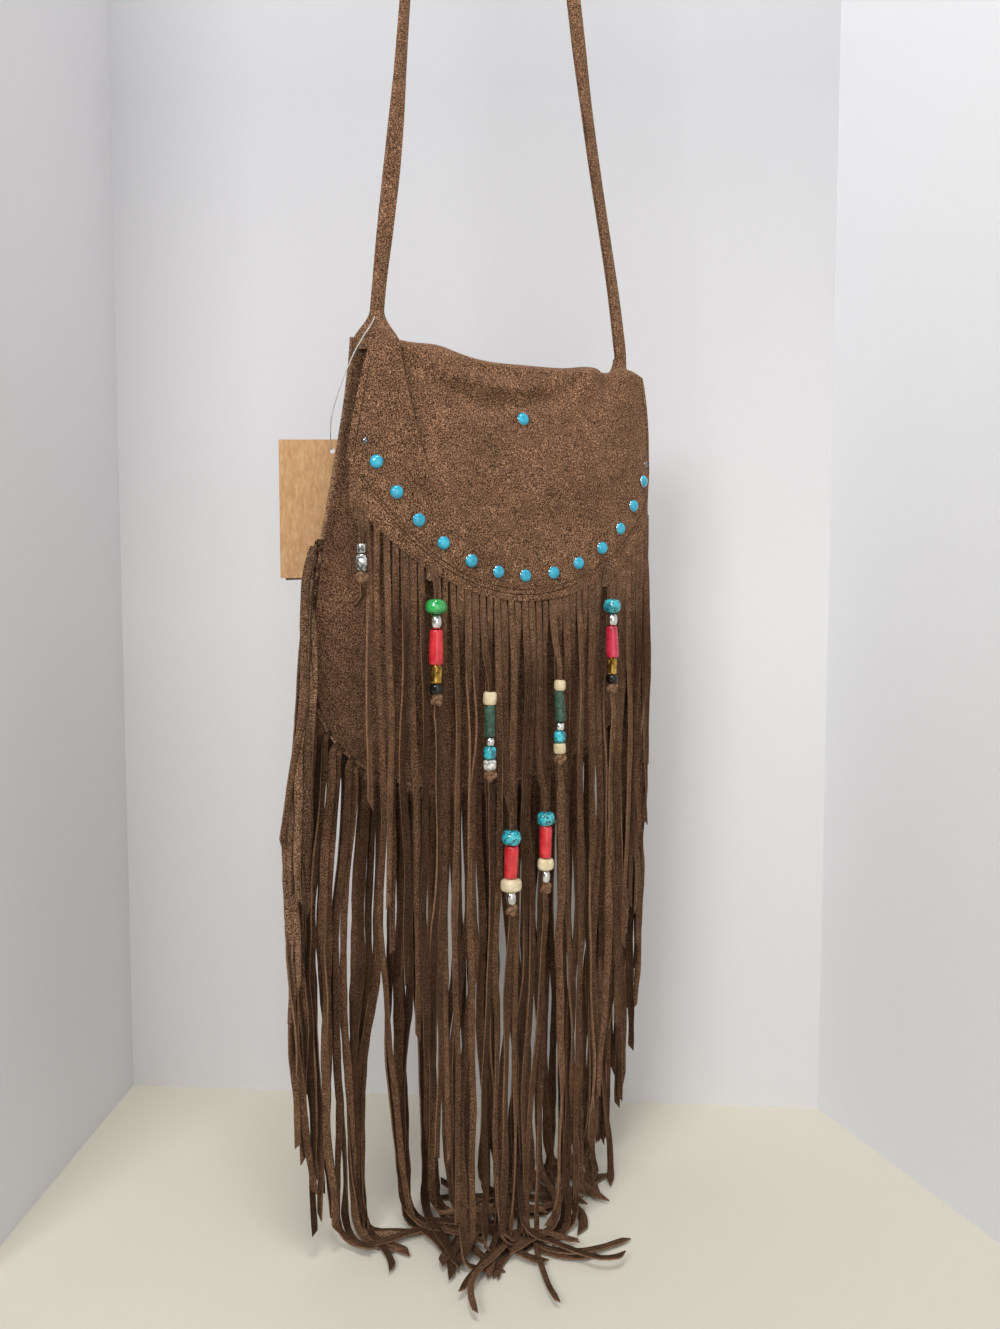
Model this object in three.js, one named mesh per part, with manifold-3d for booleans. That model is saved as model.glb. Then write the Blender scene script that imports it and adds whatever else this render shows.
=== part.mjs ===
// Fringed suede shoulder bag, hanging from the top of its strap. Millimetres, +Z up, front towards -Y.
// The origin is the inside of the strap's top bend, where it lies on its hook.
import * as THREE from "three";
import { mergeVertices } from "three/addons/utils/BufferGeometryUtils.js";
import Module from "manifold-3d";

const wasm = await Module();
wasm.setup();

// Driving dimensions. Depths are measured downwards from the level of the mouth's corners.
const leather = 1.8; // suede of the panels and the flap
const fringeSuede = 1.4; // thinner suede that is slit into fringe
const stretchedSuede = 0.9; // share of its thickness that a hanging strand keeps
const clearance = 0.3; // between pieces that are sewn or rest together

const mouthHalfWidth = 118;
const bellyHalfWidth = 140;
const bellyDepth = 215;
const pouchDepth = 325;
const outlinePower = 2.4; // roundness of the pouch's lower outline
const bottomFlat = 26; // half the straight run at the very bottom of the outline
const seamAllowance = 7; // flat margin where the panels are sewn together
const frontSwellDepth = 33; // how far the filled front panel stands out of the seam
const backSwellDepth = 20;
const mouthShare = 0.34; // share of the swelling that is left at the mouth
const fullestDepth = 120;
const swellPower = 3.4;
const pouchLean = 42; // how far the bottom seam hangs behind the mouth
const mouthDrop = 8; // the mouth's edge below its corners' level
const mouthSag = 11; // and its further sag between the corners

const flapTopHalfWidth = 94;
const flapSideHalfWidth = 126;
const flapEdgeCentre = 6.5; // the flap's lower edge is an ellipse about this depth
const flapEdgeWidth = 143;
const flapEdgeHeight = 172;
const flapLap = 24; // overlap where the flap is sewn to the outside of the back panel
const flapFoldHeight = 6; // height of the fold above the mouth
const flapRollWidth = 133; // the flap rolls back over the pouch's sides from here
const flapRollPower = 7;
const flapHangDepth = 105; // below this the flap hangs straight down

const studInset = 13; // from the flap's edge to the row of studs
const studPitch = 23.2;
const studsEachSide = 6;
const rivetPitch = 15; // from the last stud of the row to the rivet that ends it
const studRadius = 4.7;
const studRim = 1.2;
const studHeight = 3.1;
const rivetRadius = 2.2;
const rivetHeight = 1.2;
const closureDepth = 55;
const snapRadius = 7;
const snapBase = 0.8; // flange of the lower snap half
const snapKnobRadius = 2.2;
const snapKnobHeight = 1.4;
const snapCup = 1.6; // thickness of the upper snap half
const snapBore = 2.7;

const strapWidth = 11;
const strapThickness = 4;
const strapEndThickness = 2;
const strapSeamX = 103; // middle of the strap's sewn ends
const strapEndDepth = 30; // how far the sewn ends reach into the pouch
const strapRise = 560; // from the mouth's corners to the start of the top bend
const strapBendRadius = 23; // inside of the top bend
const hookSide = -10; // the hook's place over the middle of the bag
const hookBack = 17; // and behind the mouth

const tableDrop = 662; // what the fringe ends lie on, below the mouth's corners
const slitWidth = 160; // the fringe's slits start on this ellipse below the flap's edge
const slitHeight = 177;
const bandLap = 10; // part of the fringe's band that is hidden behind the flap
const bandTopGap = 1; // the band's ends start this far above the flap's corners
const strandRoot = 5; // a strand's root inside the band
const slitLead = 4; // full width from here below the slit's start
const laneDrop = 45; // below the slits the strands have parted into two lanes
const strandLanes = [0.9, -1.6]; // behind and in front of the slit band, by turns
const strandWander = 1.1; // sideways unevenness of the strands
const strandSway = 0.9;
const strandStep = 220; // longest straight run of a flap strand
const tipUnevenness = 14;
const tipTaper = 0.45; // width that is left at a strand's cut end
const flapStrands = 43;
const strandPitch = 5.8;
const strandWidth = 5.1;
const shortestTip = 285; // depth of the outermost strand's end
const tipGrowth = 445; // and how much deeper the middle strands reach
const endStringTip = 187; // the beaded strand at the flap's left end is short
const beadForward = 10; // beaded strands hang this far in front of the others
const stringLead = 12; // a beaded strand has come forward this far above its beads
const stringNeck = 3; // and is rolled narrow from here
const stringWidth = 2.2; // rolled suede inside the beads
const knotRadius = 4.6;
const knotHeight = 7;
const holeRadius = 1.9;

const seamFringeDepth = 143; // the seam's fringe starts at this depth
const seamStrandPitch = 8.6;
const seamStrandWidth = 5.6;
const weltInside = 6; // the fringe's band reaches this far into the seam
const weltOutside = 2.5;
const seamStrandLength = 200; // first strand
const seamLengthGrowth = 205; // longer by this at the middle of the bottom
const seamReach = 10; // how far the strands stand out of the seam before they drop
const topSpread = 10; // the upper strands hang outside the lower ones
const laneOffset = 4; // neighbours hang in two lanes
const seamStep = 300; // longest straight run of a seam strand
const seamTipUnevenness = 12;
const seamSway = 0.5;
const tableBend = 14; // bend where a strand meets the table
const turnAbove = 6; // a strand starts to turn this far above its bend
const shortestTail = 8; // least length that lies on the table
const tableLayer = 1.2; // half the height of the heap of lying ends

const tagWidth = 50;
const tagHeight = 98;
const tagThickness = 0.6;
const tagHole = 2;
const tagHoleInset = [12, 8]; // the hole's middle from the card's right and upper edges
const tagTurn = -30; // the tag faces the front left corner, degrees
const threadRadius = 0.4;
// The nylon thread's way from the strap's left end, round the mouth's corner, to the tag's hole
const threadRoute = [[-104, -3, 7], [-108, -6, 1], [-115, -8, -9], [-122, -7, -22], [-127.5, -2, -38],
  [-129, 7, -50], [-127.5, 20, -61], [-123, 33, -71]];

// Strands with beads, counted from the middle strand; top is the depth where the beads start.
// Each bead is its kind, radius, height and the squareness of its outline.
const strings = [
  {
    name: "outer_left", strand: -13, top: 182,
    beads: [["green_rondelle", 7.7, 10.2, 2.6], ["silver_oval", 4.2, 9.7, 2], ["red_tube", 4.7, 23.4, 9],
      ["gold_tube", 3.7, 12.3, 9], ["black_rondelle", 4.3, 7, 2.6]],
  },
  {
    name: "outer_right", strand: 12, top: 182,
    beads: [["turquoise_rondelle", 6.8, 10.2, 2.6], ["silver_oval", 4, 9.3, 2],
      ["crimson_tube", 4.5, 23.2, 9], ["gold_tube", 3.2, 12, 9], ["black_rondelle", 4.3, 6.3, 2.6]],
  },
  {
    name: "middle_left", strand: -6, top: 246,
    beads: [["carved_barrel", 4.9, 9.1, 4], ["green_tube", 3.8, 22, 9], ["silver_ball", 3.4, 6.2, 2],
      ["turquoise_barrel", 4.5, 8.8, 3], ["white_rondelle", 4.4, 7.4, 3]],
  },
  {
    name: "middle_right", strand: 4, top: 240,
    beads: [["cream_barrel", 4.3, 8, 2.6], ["green_tube", 3.8, 22, 9], ["silver_ball", 3.4, 6.2, 2],
      ["turquoise_barrel", 4.5, 8.4, 3], ["carved_barrel", 4.6, 7.9, 4]],
  },
  {
    name: "inner_left", strand: -3, top: 345,
    beads: [["turquoise_rondelle", 7, 10.6, 2.6], ["red_tube", 5, 23.4, 9], ["cream_rondelle", 7.5, 9.4, 2.6],
      ["silver_oval", 3.7, 9.4, 2]],
  },
  {
    name: "inner_right", strand: 2, top: 335,
    beads: [["turquoise_rondelle", 6.6, 10, 2.6], ["red_tube", 4.5, 23, 9], ["cream_rondelle", 6, 9, 2.6],
      ["silver_oval", 3.6, 9, 2]],
  },
  {
    name: "end_left", strand: -21, top: 146,
    beads: [["silver_tube", 3, 6, 9], ["silver_oval", 4.2, 12, 2]],
  },
];

// Finishes
const suede = new THREE.MeshStandardMaterial({ color: 0x63483a, roughness: 0.95 });
const suedeFringe = new THREE.MeshStandardMaterial({ color: 0x5a3f31, roughness: 0.95 });
const silver = new THREE.MeshStandardMaterial({ color: 0xd8d8d4, roughness: 0.15, metalness: 1 });
const gold = new THREE.MeshStandardMaterial({ color: 0xc79a3c, roughness: 0.25, metalness: 1 });
const turquoise = new THREE.MeshStandardMaterial({ color: 0x2fb3c6, roughness: 0.3 });
const green = new THREE.MeshStandardMaterial({ color: 0x1f9a4a, roughness: 0.2 });
const jade = new THREE.MeshStandardMaterial({ color: 0x3e6b58, roughness: 0.5 });
const red = new THREE.MeshStandardMaterial({ color: 0xc8303c, roughness: 0.35 });
const black = new THREE.MeshStandardMaterial({ color: 0x15120f, roughness: 0.15 });
const cream = new THREE.MeshStandardMaterial({ color: 0xd9c9a4, roughness: 0.5 });
const kraft = new THREE.MeshStandardMaterial({ color: 0xb98d5b, roughness: 0.9 });
const darkCard = new THREE.MeshStandardMaterial({ color: 0x4a3b2b, roughness: 0.9 });
const nylon = new THREE.MeshStandardMaterial({ color: 0xe6e6e2, roughness: 0.2 });
const beadFinish = {
  green, jade, silver, gold, red, crimson: red, turquoise, black, cream, carved: cream, white: cream,
};

// General helpers
const smooth = (t) => {
  const u = Math.min(1, Math.max(0, t));
  return u * u * (3 - 2 * u);
};
const mix = (a, b, t) => a + (b - a) * t;
// Repeatable unevenness between -1 and 1 for strand number n
const uneven = (n) => Math.sin(n * 2.399 + 0.7 * Math.sin(n * 1.31));

function signedVolume(geometry) {
  const p = geometry.getAttribute("position");
  const index = geometry.getIndex();
  const [a, b, c] = [new THREE.Vector3(), new THREE.Vector3(), new THREE.Vector3()];
  let volume = 0;
  for (let i = 0; i < index.count; i += 3) {
    a.fromBufferAttribute(p, index.getX(i));
    b.fromBufferAttribute(p, index.getX(i + 1));
    c.fromBufferAttribute(p, index.getX(i + 2));
    volume += a.dot(b.cross(c));
  }
  return volume;
}

// Merges a closed geometry's shared corners and turns its faces outwards
function solid(geometry) {
  const bare = geometry.clone();
  bare.deleteAttribute("normal");
  bare.deleteAttribute("uv");
  const merged = mergeVertices(bare, 1e-4);
  if (signedVolume(merged) < 0) {
    const index = merged.getIndex();
    for (let i = 0; i < index.count; i += 3) {
      const first = index.getX(i);
      index.setX(i, index.getX(i + 1));
      index.setX(i + 1, first);
    }
  }
  merged.computeVertexNormals();
  return merged;
}

function fromArrays(points, faces) {
  const geometry = new THREE.BufferGeometry();
  const numbers = points.flatMap((p) => [p.x, p.y, p.z]);
  geometry.setAttribute("position", new THREE.Float32BufferAttribute(numbers, 3));
  geometry.setIndex(faces.flat());
  return solid(geometry);
}

function toManifold(geometry) {
  const vertProperties = new Float32Array(geometry.getAttribute("position").array);
  const triVerts = new Uint32Array(geometry.getIndex().array);
  return new wasm.Manifold(new wasm.Mesh({ numProp: 3, vertProperties, triVerts }));
}

function join(geometries) {
  const whole = geometries.map(toManifold).reduce((sum, next) => sum.add(next));
  const mesh = whole.getMesh();
  const geometry = new THREE.BufferGeometry();
  geometry.setAttribute("position", new THREE.BufferAttribute(new Float32Array(mesh.vertProperties), 3));
  geometry.setIndex(new THREE.BufferAttribute(new Uint32Array(mesh.triVerts), 1));
  geometry.computeVertexNormals();
  return geometry;
}

// A loft through rings of points, closed at both ends
function loft(rings) {
  const sides = rings[0].length;
  const points = rings.flat();
  const faces = [];
  for (let r = 0; r + 1 < rings.length; r += 1) {
    for (let k = 0; k < sides; k += 1) {
      const a = r * sides + k;
      const b = r * sides + ((k + 1) % sides);
      faces.push([a, b, b + sides], [a, b + sides, a + sides]);
    }
  }
  const last = (rings.length - 1) * sides;
  for (let k = 1; k + 1 < sides; k += 1) {
    faces.push([0, k + 1, k], [last, last + k, last + k + 1]);
  }
  return fromArrays(points, faces);
}

// A sheet of the given thickness about a grid of points, offset along the grid's normals
function thickSheet(grid, thickness) {
  const rows = grid.length;
  const columns = grid[0].length;
  const normalAt = (i, j) => {
    const down = grid[Math.min(i + 1, rows - 1)][j].clone().sub(grid[Math.max(i - 1, 0)][j]);
    const across = grid[i][Math.min(j + 1, columns - 1)].clone().sub(grid[i][Math.max(j - 1, 0)]);
    return down.cross(across).normalize();
  };
  const layer = (side) => grid.map((row, i) => row.map((p, j) => (
    p.clone().addScaledVector(normalAt(i, j), side * thickness / 2)
  )));
  const points = [...layer(1).flat(), ...layer(-1).flat()];
  const offset = rows * columns;
  const faces = [];
  const quad = (a, b, c, d) => faces.push([a, b, c], [a, c, d]);
  for (let i = 0; i + 1 < rows; i += 1) {
    for (let j = 0; j + 1 < columns; j += 1) {
      const a = i * columns + j;
      quad(a, a + 1, a + 1 + columns, a + columns);
      quad(a + offset, a + columns + offset, a + 1 + columns + offset, a + 1 + offset);
    }
  }
  for (let j = 0; j + 1 < columns; j += 1) {
    const last = (rows - 1) * columns + j;
    quad(j, j + offset, j + 1 + offset, j + 1);
    quad(last, last + 1, last + 1 + offset, last + offset);
  }
  for (let i = 0; i + 1 < rows; i += 1) {
    const left = i * columns;
    const right = left + columns - 1;
    quad(left, left + columns, left + columns + offset, left + offset);
    quad(right, right + offset, right + columns + offset, right + columns);
  }
  return fromArrays(points, faces);
}

// A ribbon along a path of { at, across } steps, with its own width at each step
function ribbon(path, width, thickness) {
  const rings = path.map((step, i) => {
    const before = path[Math.max(i - 1, 0)].at;
    const after = path[Math.min(i + 1, path.length - 1)].at;
    const along = after.clone().sub(before).normalize();
    const face = along.clone().cross(step.across).normalize();
    const across = face.clone().cross(along).normalize();
    const w = (step.width ?? width) / 2;
    const t = (step.thickness ?? thickness) / 2;
    return [[-w, -t], [w, -t], [w, t], [-w, t]].map(([u, v]) => (
      step.at.clone().addScaledVector(across, u).addScaledVector(face, v)
    ));
  });
  return loft(rings);
}

function mesh(name, geometry, material) {
  const piece = new THREE.Mesh(geometry, material);
  piece.name = name;
  return piece;
}

// A turned piece from its half section, standing on +Z
function turned(profile, sides) {
  const lathe = new THREE.LatheGeometry(profile.map(([r, z]) => new THREE.Vector2(r, z)), sides);
  lathe.rotateX(Math.PI / 2);
  return solid(lathe);
}

// The pouch's form. Depth d is measured downwards, x from the bag's middle.
const lean = (d) => pouchLean * Math.max(0, d) / pouchDepth;
const mouthEdge = (x) => mouthDrop + mouthSag * (1 - (x / mouthHalfWidth) ** 2);
const bottomAngle = Math.acos((bottomFlat / bellyHalfWidth) ** (outlinePower / 2));

function halfWidth(d) {
  if (d <= bellyDepth) {
    return mix(mouthHalfWidth, bellyHalfWidth, smooth(d / bellyDepth));
  }
  const share = Math.min(1, (d - bellyDepth) / (pouchDepth - bellyDepth));
  return bellyHalfWidth * (1 - share ** outlinePower) ** (1 / outlinePower);
}

// The swelling part inside the seam's flat margin has the same outline, smaller by the margin
function innerHalfWidth(d) {
  if (d <= bellyDepth) {
    return halfWidth(d) - seamAllowance;
  }
  const share = Math.min(1, (d - bellyDepth) / (pouchDepth - seamAllowance - bellyDepth));
  return (bellyHalfWidth - seamAllowance) * (1 - share ** outlinePower) ** (1 / outlinePower);
}

function swell(d) {
  if (d <= fullestDepth) {
    return mix(mouthShare, 1, smooth(d / fullestDepth));
  }
  const share = (d - fullestDepth) / (pouchDepth - seamAllowance - fullestDepth);
  return Math.max(0, 1 - share ** swellPower);
}

const seamOffset = fringeSuede / 2 + clearance + leather / 2;

// Middle of a panel's thickness: side is -1 for the front panel and 1 for the back panel
function panelY(side, swellDepth, x, d) {
  const reach = Math.min(1, Math.abs(x) / Math.max(1, innerHalfWidth(d)));
  return lean(d) + side * (seamOffset + swellDepth * swell(d) * (1 - reach ** swellPower));
}

// A point of the lower outline, or of its inner twin when inset is the margin
function lowerOutline(angle, inset) {
  return {
    x: (bellyHalfWidth - inset) * Math.cos(angle) ** (2 / outlinePower),
    d: bellyDepth + (pouchDepth - inset - bellyDepth) * Math.sin(angle) ** (2 / outlinePower),
  };
}

// One row of a panel: the seam's edge at both ends and the swelling part between them
function panelRow(side, swellDepth, edge, inner, columns, topShare) {
  const points = [];
  const add = (x, d) => points.push(new THREE.Vector3(x, panelY(side, swellDepth, x, d), -d));
  add(-edge.x, edge.d);
  for (let j = 0; j <= columns; j += 1) {
    const s = Math.sin((Math.PI / 2) * (2 * j / columns - 1));
    const sag = topShare * (mouthEdge(s * inner.x) - mouthEdge(mouthHalfWidth));
    add(s * inner.x, inner.d + sag);
  }
  add(edge.x, edge.d);
  return points;
}

function panel(side, swellDepth) {
  const [upper, lower, columns] = [6, 6, 12];
  const grid = [];
  for (let i = 0; i <= upper; i += 1) {
    const d = mix(mouthDrop, bellyDepth, i / upper);
    const edge = { x: halfWidth(d), d };
    grid.push(panelRow(side, swellDepth, edge, { x: innerHalfWidth(d), d }, columns, 1 - i / upper));
  }
  for (let i = 1; i <= lower; i += 1) {
    const edge = lowerOutline(bottomAngle * i / (lower + 1), 0);
    const inner = lowerOutline(bottomAngle * i / lower, seamAllowance);
    grid.push(panelRow(side, swellDepth, edge, inner, columns, 0));
  }
  const bottom = lowerOutline(bottomAngle, 0);
  grid.push(panelRow(side, swellDepth, bottom, { x: bottom.x * 0.9, d: bottom.d }, columns, 0));
  return thickSheet(grid, leather);
}

// The flap's form
const flapStandoff = leather + 3 * clearance + snapBase + snapCup; // room for the snap behind it
const flapEdge = (x) => flapEdgeCentre + flapEdgeHeight * Math.sqrt(1 - (x / flapEdgeWidth) ** 2);
const slitEdge = (x) => flapEdgeCentre + slitHeight * Math.sqrt(1 - (x / slitWidth) ** 2);
const cornerDepth = flapEdge(flapSideHalfWidth);

function flapFrontY(x, d) {
  const level = Math.min(d, flapHangDepth);
  const roll = 1 - (Math.abs(x) / flapRollWidth) ** flapRollPower;
  return lean(level) - seamOffset - flapStandoff - frontSwellDepth * swell(level) * roll;
}

const flapBackY = (x, d) => panelY(1, backSwellDepth, x, d) + leather + 3 * clearance;

function flapSide(d) {
  const share = Math.min(1, Math.max(0, d) / cornerDepth);
  return mix(flapTopHalfWidth, flapSideHalfWidth, share ** 0.3);
}

function flapPoint(s, row) {
  const foldLevel = mouthEdge(s * flapTopHalfWidth) + 2 * clearance;
  if (row.back !== undefined) {
    const d = foldLevel + flapLap * row.back;
    const x = s * flapTopHalfWidth;
    return new THREE.Vector3(x, flapBackY(x, d), -d);
  }
  if (row.fold !== undefined) {
    const angle = Math.PI * row.fold;
    const x = s * mix(flapTopHalfWidth, flapSide(foldLevel), row.fold ** 4);
    const back = flapBackY(x, foldLevel);
    const front = flapFrontY(x, foldLevel);
    const y = mix(back, front, (1 - Math.cos(angle)) / 2);
    return new THREE.Vector3(x, y, -foldLevel + flapFoldHeight * Math.sin(angle));
  }
  const d = mix(foldLevel, flapEdge(s * flapSideHalfWidth), row.front);
  const x = s * flapSide(d);
  return new THREE.Vector3(x, flapFrontY(x, d), -d);
}

function flap() {
  const rows = [{ back: 1 }, { back: 0.5 }];
  const foldSteps = 6;
  for (let i = 0; i < foldSteps; i += 1) {
    rows.push({ fold: i / foldSteps });
  }
  const frontSteps = 8;
  for (let i = 0; i <= frontSteps; i += 1) {
    rows.push({ front: i / frontSteps });
  }
  const columns = 16;
  const widestTurn = Math.PI * 0.47; // columns stand closer towards the sides
  const grid = rows.map((row) => {
    const points = [];
    for (let j = 0; j <= columns; j += 1) {
      const s = Math.sin(widestTurn * (2 * j / columns - 1)) / Math.sin(widestTurn);
      points.push(flapPoint(s, row));
    }
    return points;
  });
  return thickSheet(grid, leather);
}

// Place and direction of a fitting that lies on the flap's or a panel's surface
function seat(surfaceY, x, d, offset) {
  const step = 2;
  const at = (dx, dd) => new THREE.Vector3(x + dx, surfaceY(x + dx, d + dd), -(d + dd));
  const across = at(step, 0).sub(at(-step, 0));
  const down = at(0, step).sub(at(0, -step));
  const outward = down.cross(across).normalize();
  if (outward.y > 0) {
    outward.negate();
  }
  return { at: at(0, 0).addScaledVector(outward, offset), outward };
}

function place(piece, spot) {
  piece.position.copy(spot.at);
  piece.quaternion.setFromUnitVectors(new THREE.Vector3(0, 0, 1), spot.outward);
  return piece;
}

function studGeometry() {
  const profile = [[0, 0], [studRadius, 0], [studRadius, studRim]];
  const domeRadius = studRadius - 0.8;
  const domeSteps = 2;
  for (let i = 0; i <= domeSteps; i += 1) {
    const angle = (Math.PI / 2) * i / domeSteps;
    profile.push([domeRadius * Math.cos(angle), studRim + (studHeight - studRim) * Math.sin(angle)]);
  }
  profile[profile.length - 1][0] = 0;
  return turned(profile, 10);
}

// Points on the row of studs: an ellipse inside the flap's edge, walked from the middle outwards
function onStudRow(length) {
  const [a, b] = [flapEdgeWidth - studInset, flapEdgeHeight - studInset];
  const step = 0.002;
  let angle = 0;
  for (let walked = 0; walked < Math.abs(length); angle += step) {
    walked += step * Math.hypot(a * Math.cos(angle), b * Math.sin(angle));
  }
  return { x: Math.sign(length) * a * Math.sin(angle), d: flapEdgeCentre + b * Math.cos(angle) };
}

function studs() {
  const surface = leather / 2 + clearance;
  const pieces = [];
  for (let k = -studsEachSide; k <= studsEachSide; k += 1) {
    const spot = onStudRow(k * studPitch);
    const number = String(k + studsEachSide + 1).padStart(2, "0");
    const piece = mesh(`edge_stud_${number}`, studGeometry(), turquoise);
    pieces.push(place(piece, seat(flapFrontY, spot.x, spot.d, surface)));
  }
  const closureSeat = seat(flapFrontY, 0, closureDepth, surface);
  pieces.push(place(mesh("closure_stud", studGeometry(), turquoise), closureSeat));
  for (const [name, side] of [["left_rivet", -1], ["right_rivet", 1]]) {
    const spot = onStudRow(side * (studsEachSide * studPitch + rivetPitch));
    const profile = [[0, 0], [rivetRadius, 0], [rivetRadius * 0.8, rivetHeight * 0.7], [0, rivetHeight]];
    pieces.push(place(mesh(name, turned(profile, 10), silver), seat(flapFrontY, spot.x, spot.d, surface)));
  }
  return pieces;
}

// The two halves of the snap that closes the flap, behind the closure stud
function snapHalves() {
  const frontPanelY = (x, d) => panelY(-1, frontSwellDepth, x, d);
  const knobProfile = [[0, 0], [snapRadius, 0], [snapRadius, snapBase], [snapKnobRadius, snapBase],
    [snapKnobRadius, snapBase + snapKnobHeight], [0, snapBase + snapKnobHeight]];
  const cupProfile = [[snapBore, 0], [snapRadius, 0], [snapRadius, snapCup], [snapBore, snapCup],
    [snapBore, 0]];
  const onPanel = seat(frontPanelY, 0, closureDepth, leather / 2 + clearance);
  const cupSeat = { at: onPanel.at.clone(), outward: onPanel.outward };
  cupSeat.at.addScaledVector(onPanel.outward, snapBase + clearance);
  return [
    place(mesh("snap_knob", turned(knobProfile, 16), silver), onPanel),
    place(mesh("snap_cup", turned(cupProfile, 16), silver), cupSeat),
  ];
}

// Fringe of the flap: a curved band behind the flap's edge, slit into strands
const stringX = (string) => string.strand * strandPitch;
const fringePoint = (x, d) => seat(flapFrontY, x, d, -(leather / 2 + 2 * clearance + fringeSuede / 2)).at;
const outerStrand = strandPitch * (flapStrands - 1) / 2;

function fringeBand() {
  const columns = 22;
  const half = outerStrand + strandWidth / 2;
  const grid = [0, 0.5, 1].map((share) => {
    const points = [];
    for (let j = 0; j <= columns; j += 1) {
      const x = half * (2 * j / columns - 1);
      const edge = flapEdge(Math.min(flapSideHalfWidth, Math.abs(x)));
      const top = Math.max(cornerDepth - bandTopGap, edge - bandLap);
      const d = mix(top, slitEdge(x), share);
      points.push(fringePoint(x, d));
    }
    return points;
  });
  return thickSheet(grid, fringeSuede);
}

function tipDepth(x, number) {
  const inward = 1 - Math.abs(x) / outerStrand;
  return shortestTip + tipGrowth * Math.sin((Math.PI / 2) * inward) + tipUnevenness * uneven(number);
}

// Height at which a strand's end lies in the heap
const layerLift = (number) => tableLayer * (1 + 0.9 * uneven(number));

// The rest of a strand that is longer than the way down: it bends on the table and lies there.
// from is its last hanging point over the table, heading the direction it turns to, spare its length.
function tail(from, heading, spare, lift) {
  const table = -tableDrop;
  const along = new THREE.Vector3(Math.cos(heading), Math.sin(heading), 0);
  const across = new THREE.Vector3(-Math.sin(heading), Math.cos(heading), 0);
  const steps = [];
  const rest = table + fringeSuede / 2 + clearance + lift;
  const angle = Math.PI * 0.32;
  const low = new THREE.Vector3(from.x, from.y, rest + tableBend * (1 - Math.sin(angle)));
  low.addScaledVector(along, tableBend * (1 - Math.cos(angle)));
  steps.push({ at: low, across });
  const lying = Math.max(shortestTail, spare - tableBend * 1.6);
  const end = new THREE.Vector3(from.x, from.y, rest).addScaledVector(along, tableBend + lying * 0.95);
  end.addScaledVector(across, lying * 0.25 * Math.sin(heading * 7));
  steps.push({ at: end, across });
  return steps;
}

function flapStrand(number) {
  const x = -outerStrand + number * strandPitch;
  const start = slitEdge(x);
  const string = strings.find((entry) => Math.abs(stringX(entry) - x) < strandPitch / 2);
  const across = new THREE.Vector3(1, 0, 0);
  const rootAt = fringePoint(x, start - strandRoot);
  const y = fringePoint(x, start).y;
  const path = [{ at: rootAt, across, thickness: fringeSuede * 0.8 }];
  const lane = strandLanes[number % 2];
  const wander = strandWander * uneven(number + 5);
  let end = tipDepth(x, number);
  if (string && string.name === "end_left") {
    end = endStringTip;
  }
  let d = start + slitLead;
  path.push({ at: new THREE.Vector3(x, y, -d), across });
  if (string) {
    d = addString(path, string, x, y);
  } else {
    d = start + laneDrop;
    path.push({ at: new THREE.Vector3(x + wander * 0.4, y + lane, -d), across });
  }
  const settled = new THREE.Vector3(x + wander, y + lane, 0);
  const turnDown = tableDrop - tableBend - turnAbove * (1 + Math.abs(uneven(number + 2)) / 2);
  const bottom = Math.min(end, turnDown);
  const pieces = Math.max(1, Math.round((bottom - d) / strandStep));
  const from = path[path.length - 1].at.clone();
  for (let k = 1; k <= pieces; k += 1) {
    const share = k / pieces;
    const sway = k < pieces ? strandSway * uneven(number * 3 + k) : 0;
    const at = new THREE.Vector3(mix(from.x, settled.x, share) + sway, mix(from.y, settled.y, share), 0);
    at.z = -mix(d, bottom, share);
    path.push({ at, across });
  }
  if (end > tableDrop) {
    const heading = -Math.PI / 2 + 0.03 * x + 0.12 * uneven(number + 9);
    const tailSteps = tail(settled, heading, end - tableDrop + tableBend, layerLift(number + 1));
    const last = path[path.length - 1];
    last.across = tailSteps[0].across.clone().add(across).normalize();
    path.push(...tailSteps);
  } else {
    path[path.length - 1].width = strandWidth * tipTaper;
  }
  return ribbon(path, strandWidth, fringeSuede * stretchedSuede);
}

// Steps of a strand through its beads: it comes forward, is rolled narrow, and widens below the knot
function addString(path, string, x, y) {
  const stack = string.beads.reduce((sum, bead) => sum + bead[2] + clearance, 0);
  const across = new THREE.Vector3(1, 0, 0);
  const forward = y - beadForward;
  const narrow = { across, width: stringWidth, thickness: stringWidth };
  const knotEnd = string.top + stack + knotHeight;
  path.push({ at: new THREE.Vector3(x, forward, -(string.top - stringLead)), across });
  path.push({ at: new THREE.Vector3(x, forward, -(string.top - stringNeck)), ...narrow });
  path.push({ at: new THREE.Vector3(x, forward, -(knotEnd - knotHeight / 2)), ...narrow });
  path.push({ at: new THREE.Vector3(x, forward, -(knotEnd + stringNeck)), across, width: strandWidth * 0.7 });
  return knotEnd + stringNeck;
}

function stringY(string) {
  return fringePoint(stringX(string), slitEdge(stringX(string))).y - beadForward;
}

function knots() {
  return strings.map((string) => {
    const stack = string.beads.reduce((sum, bead) => sum + bead[2] + clearance, 0);
    const knot = new THREE.SphereGeometry(1, 7, 5);
    knot.rotateX(Math.PI / 2);
    knot.scale(knotRadius, knotRadius * 0.75, knotHeight / 2);
    knot.translate(stringX(string), stringY(string), -(string.top + stack + knotHeight / 2));
    return solid(knot);
  });
}

function flapFringe() {
  const strands = Array.from({ length: flapStrands }, (_, number) => flapStrand(number));
  return join([fringeBand(), ...strands, ...knots()]);
}

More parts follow.
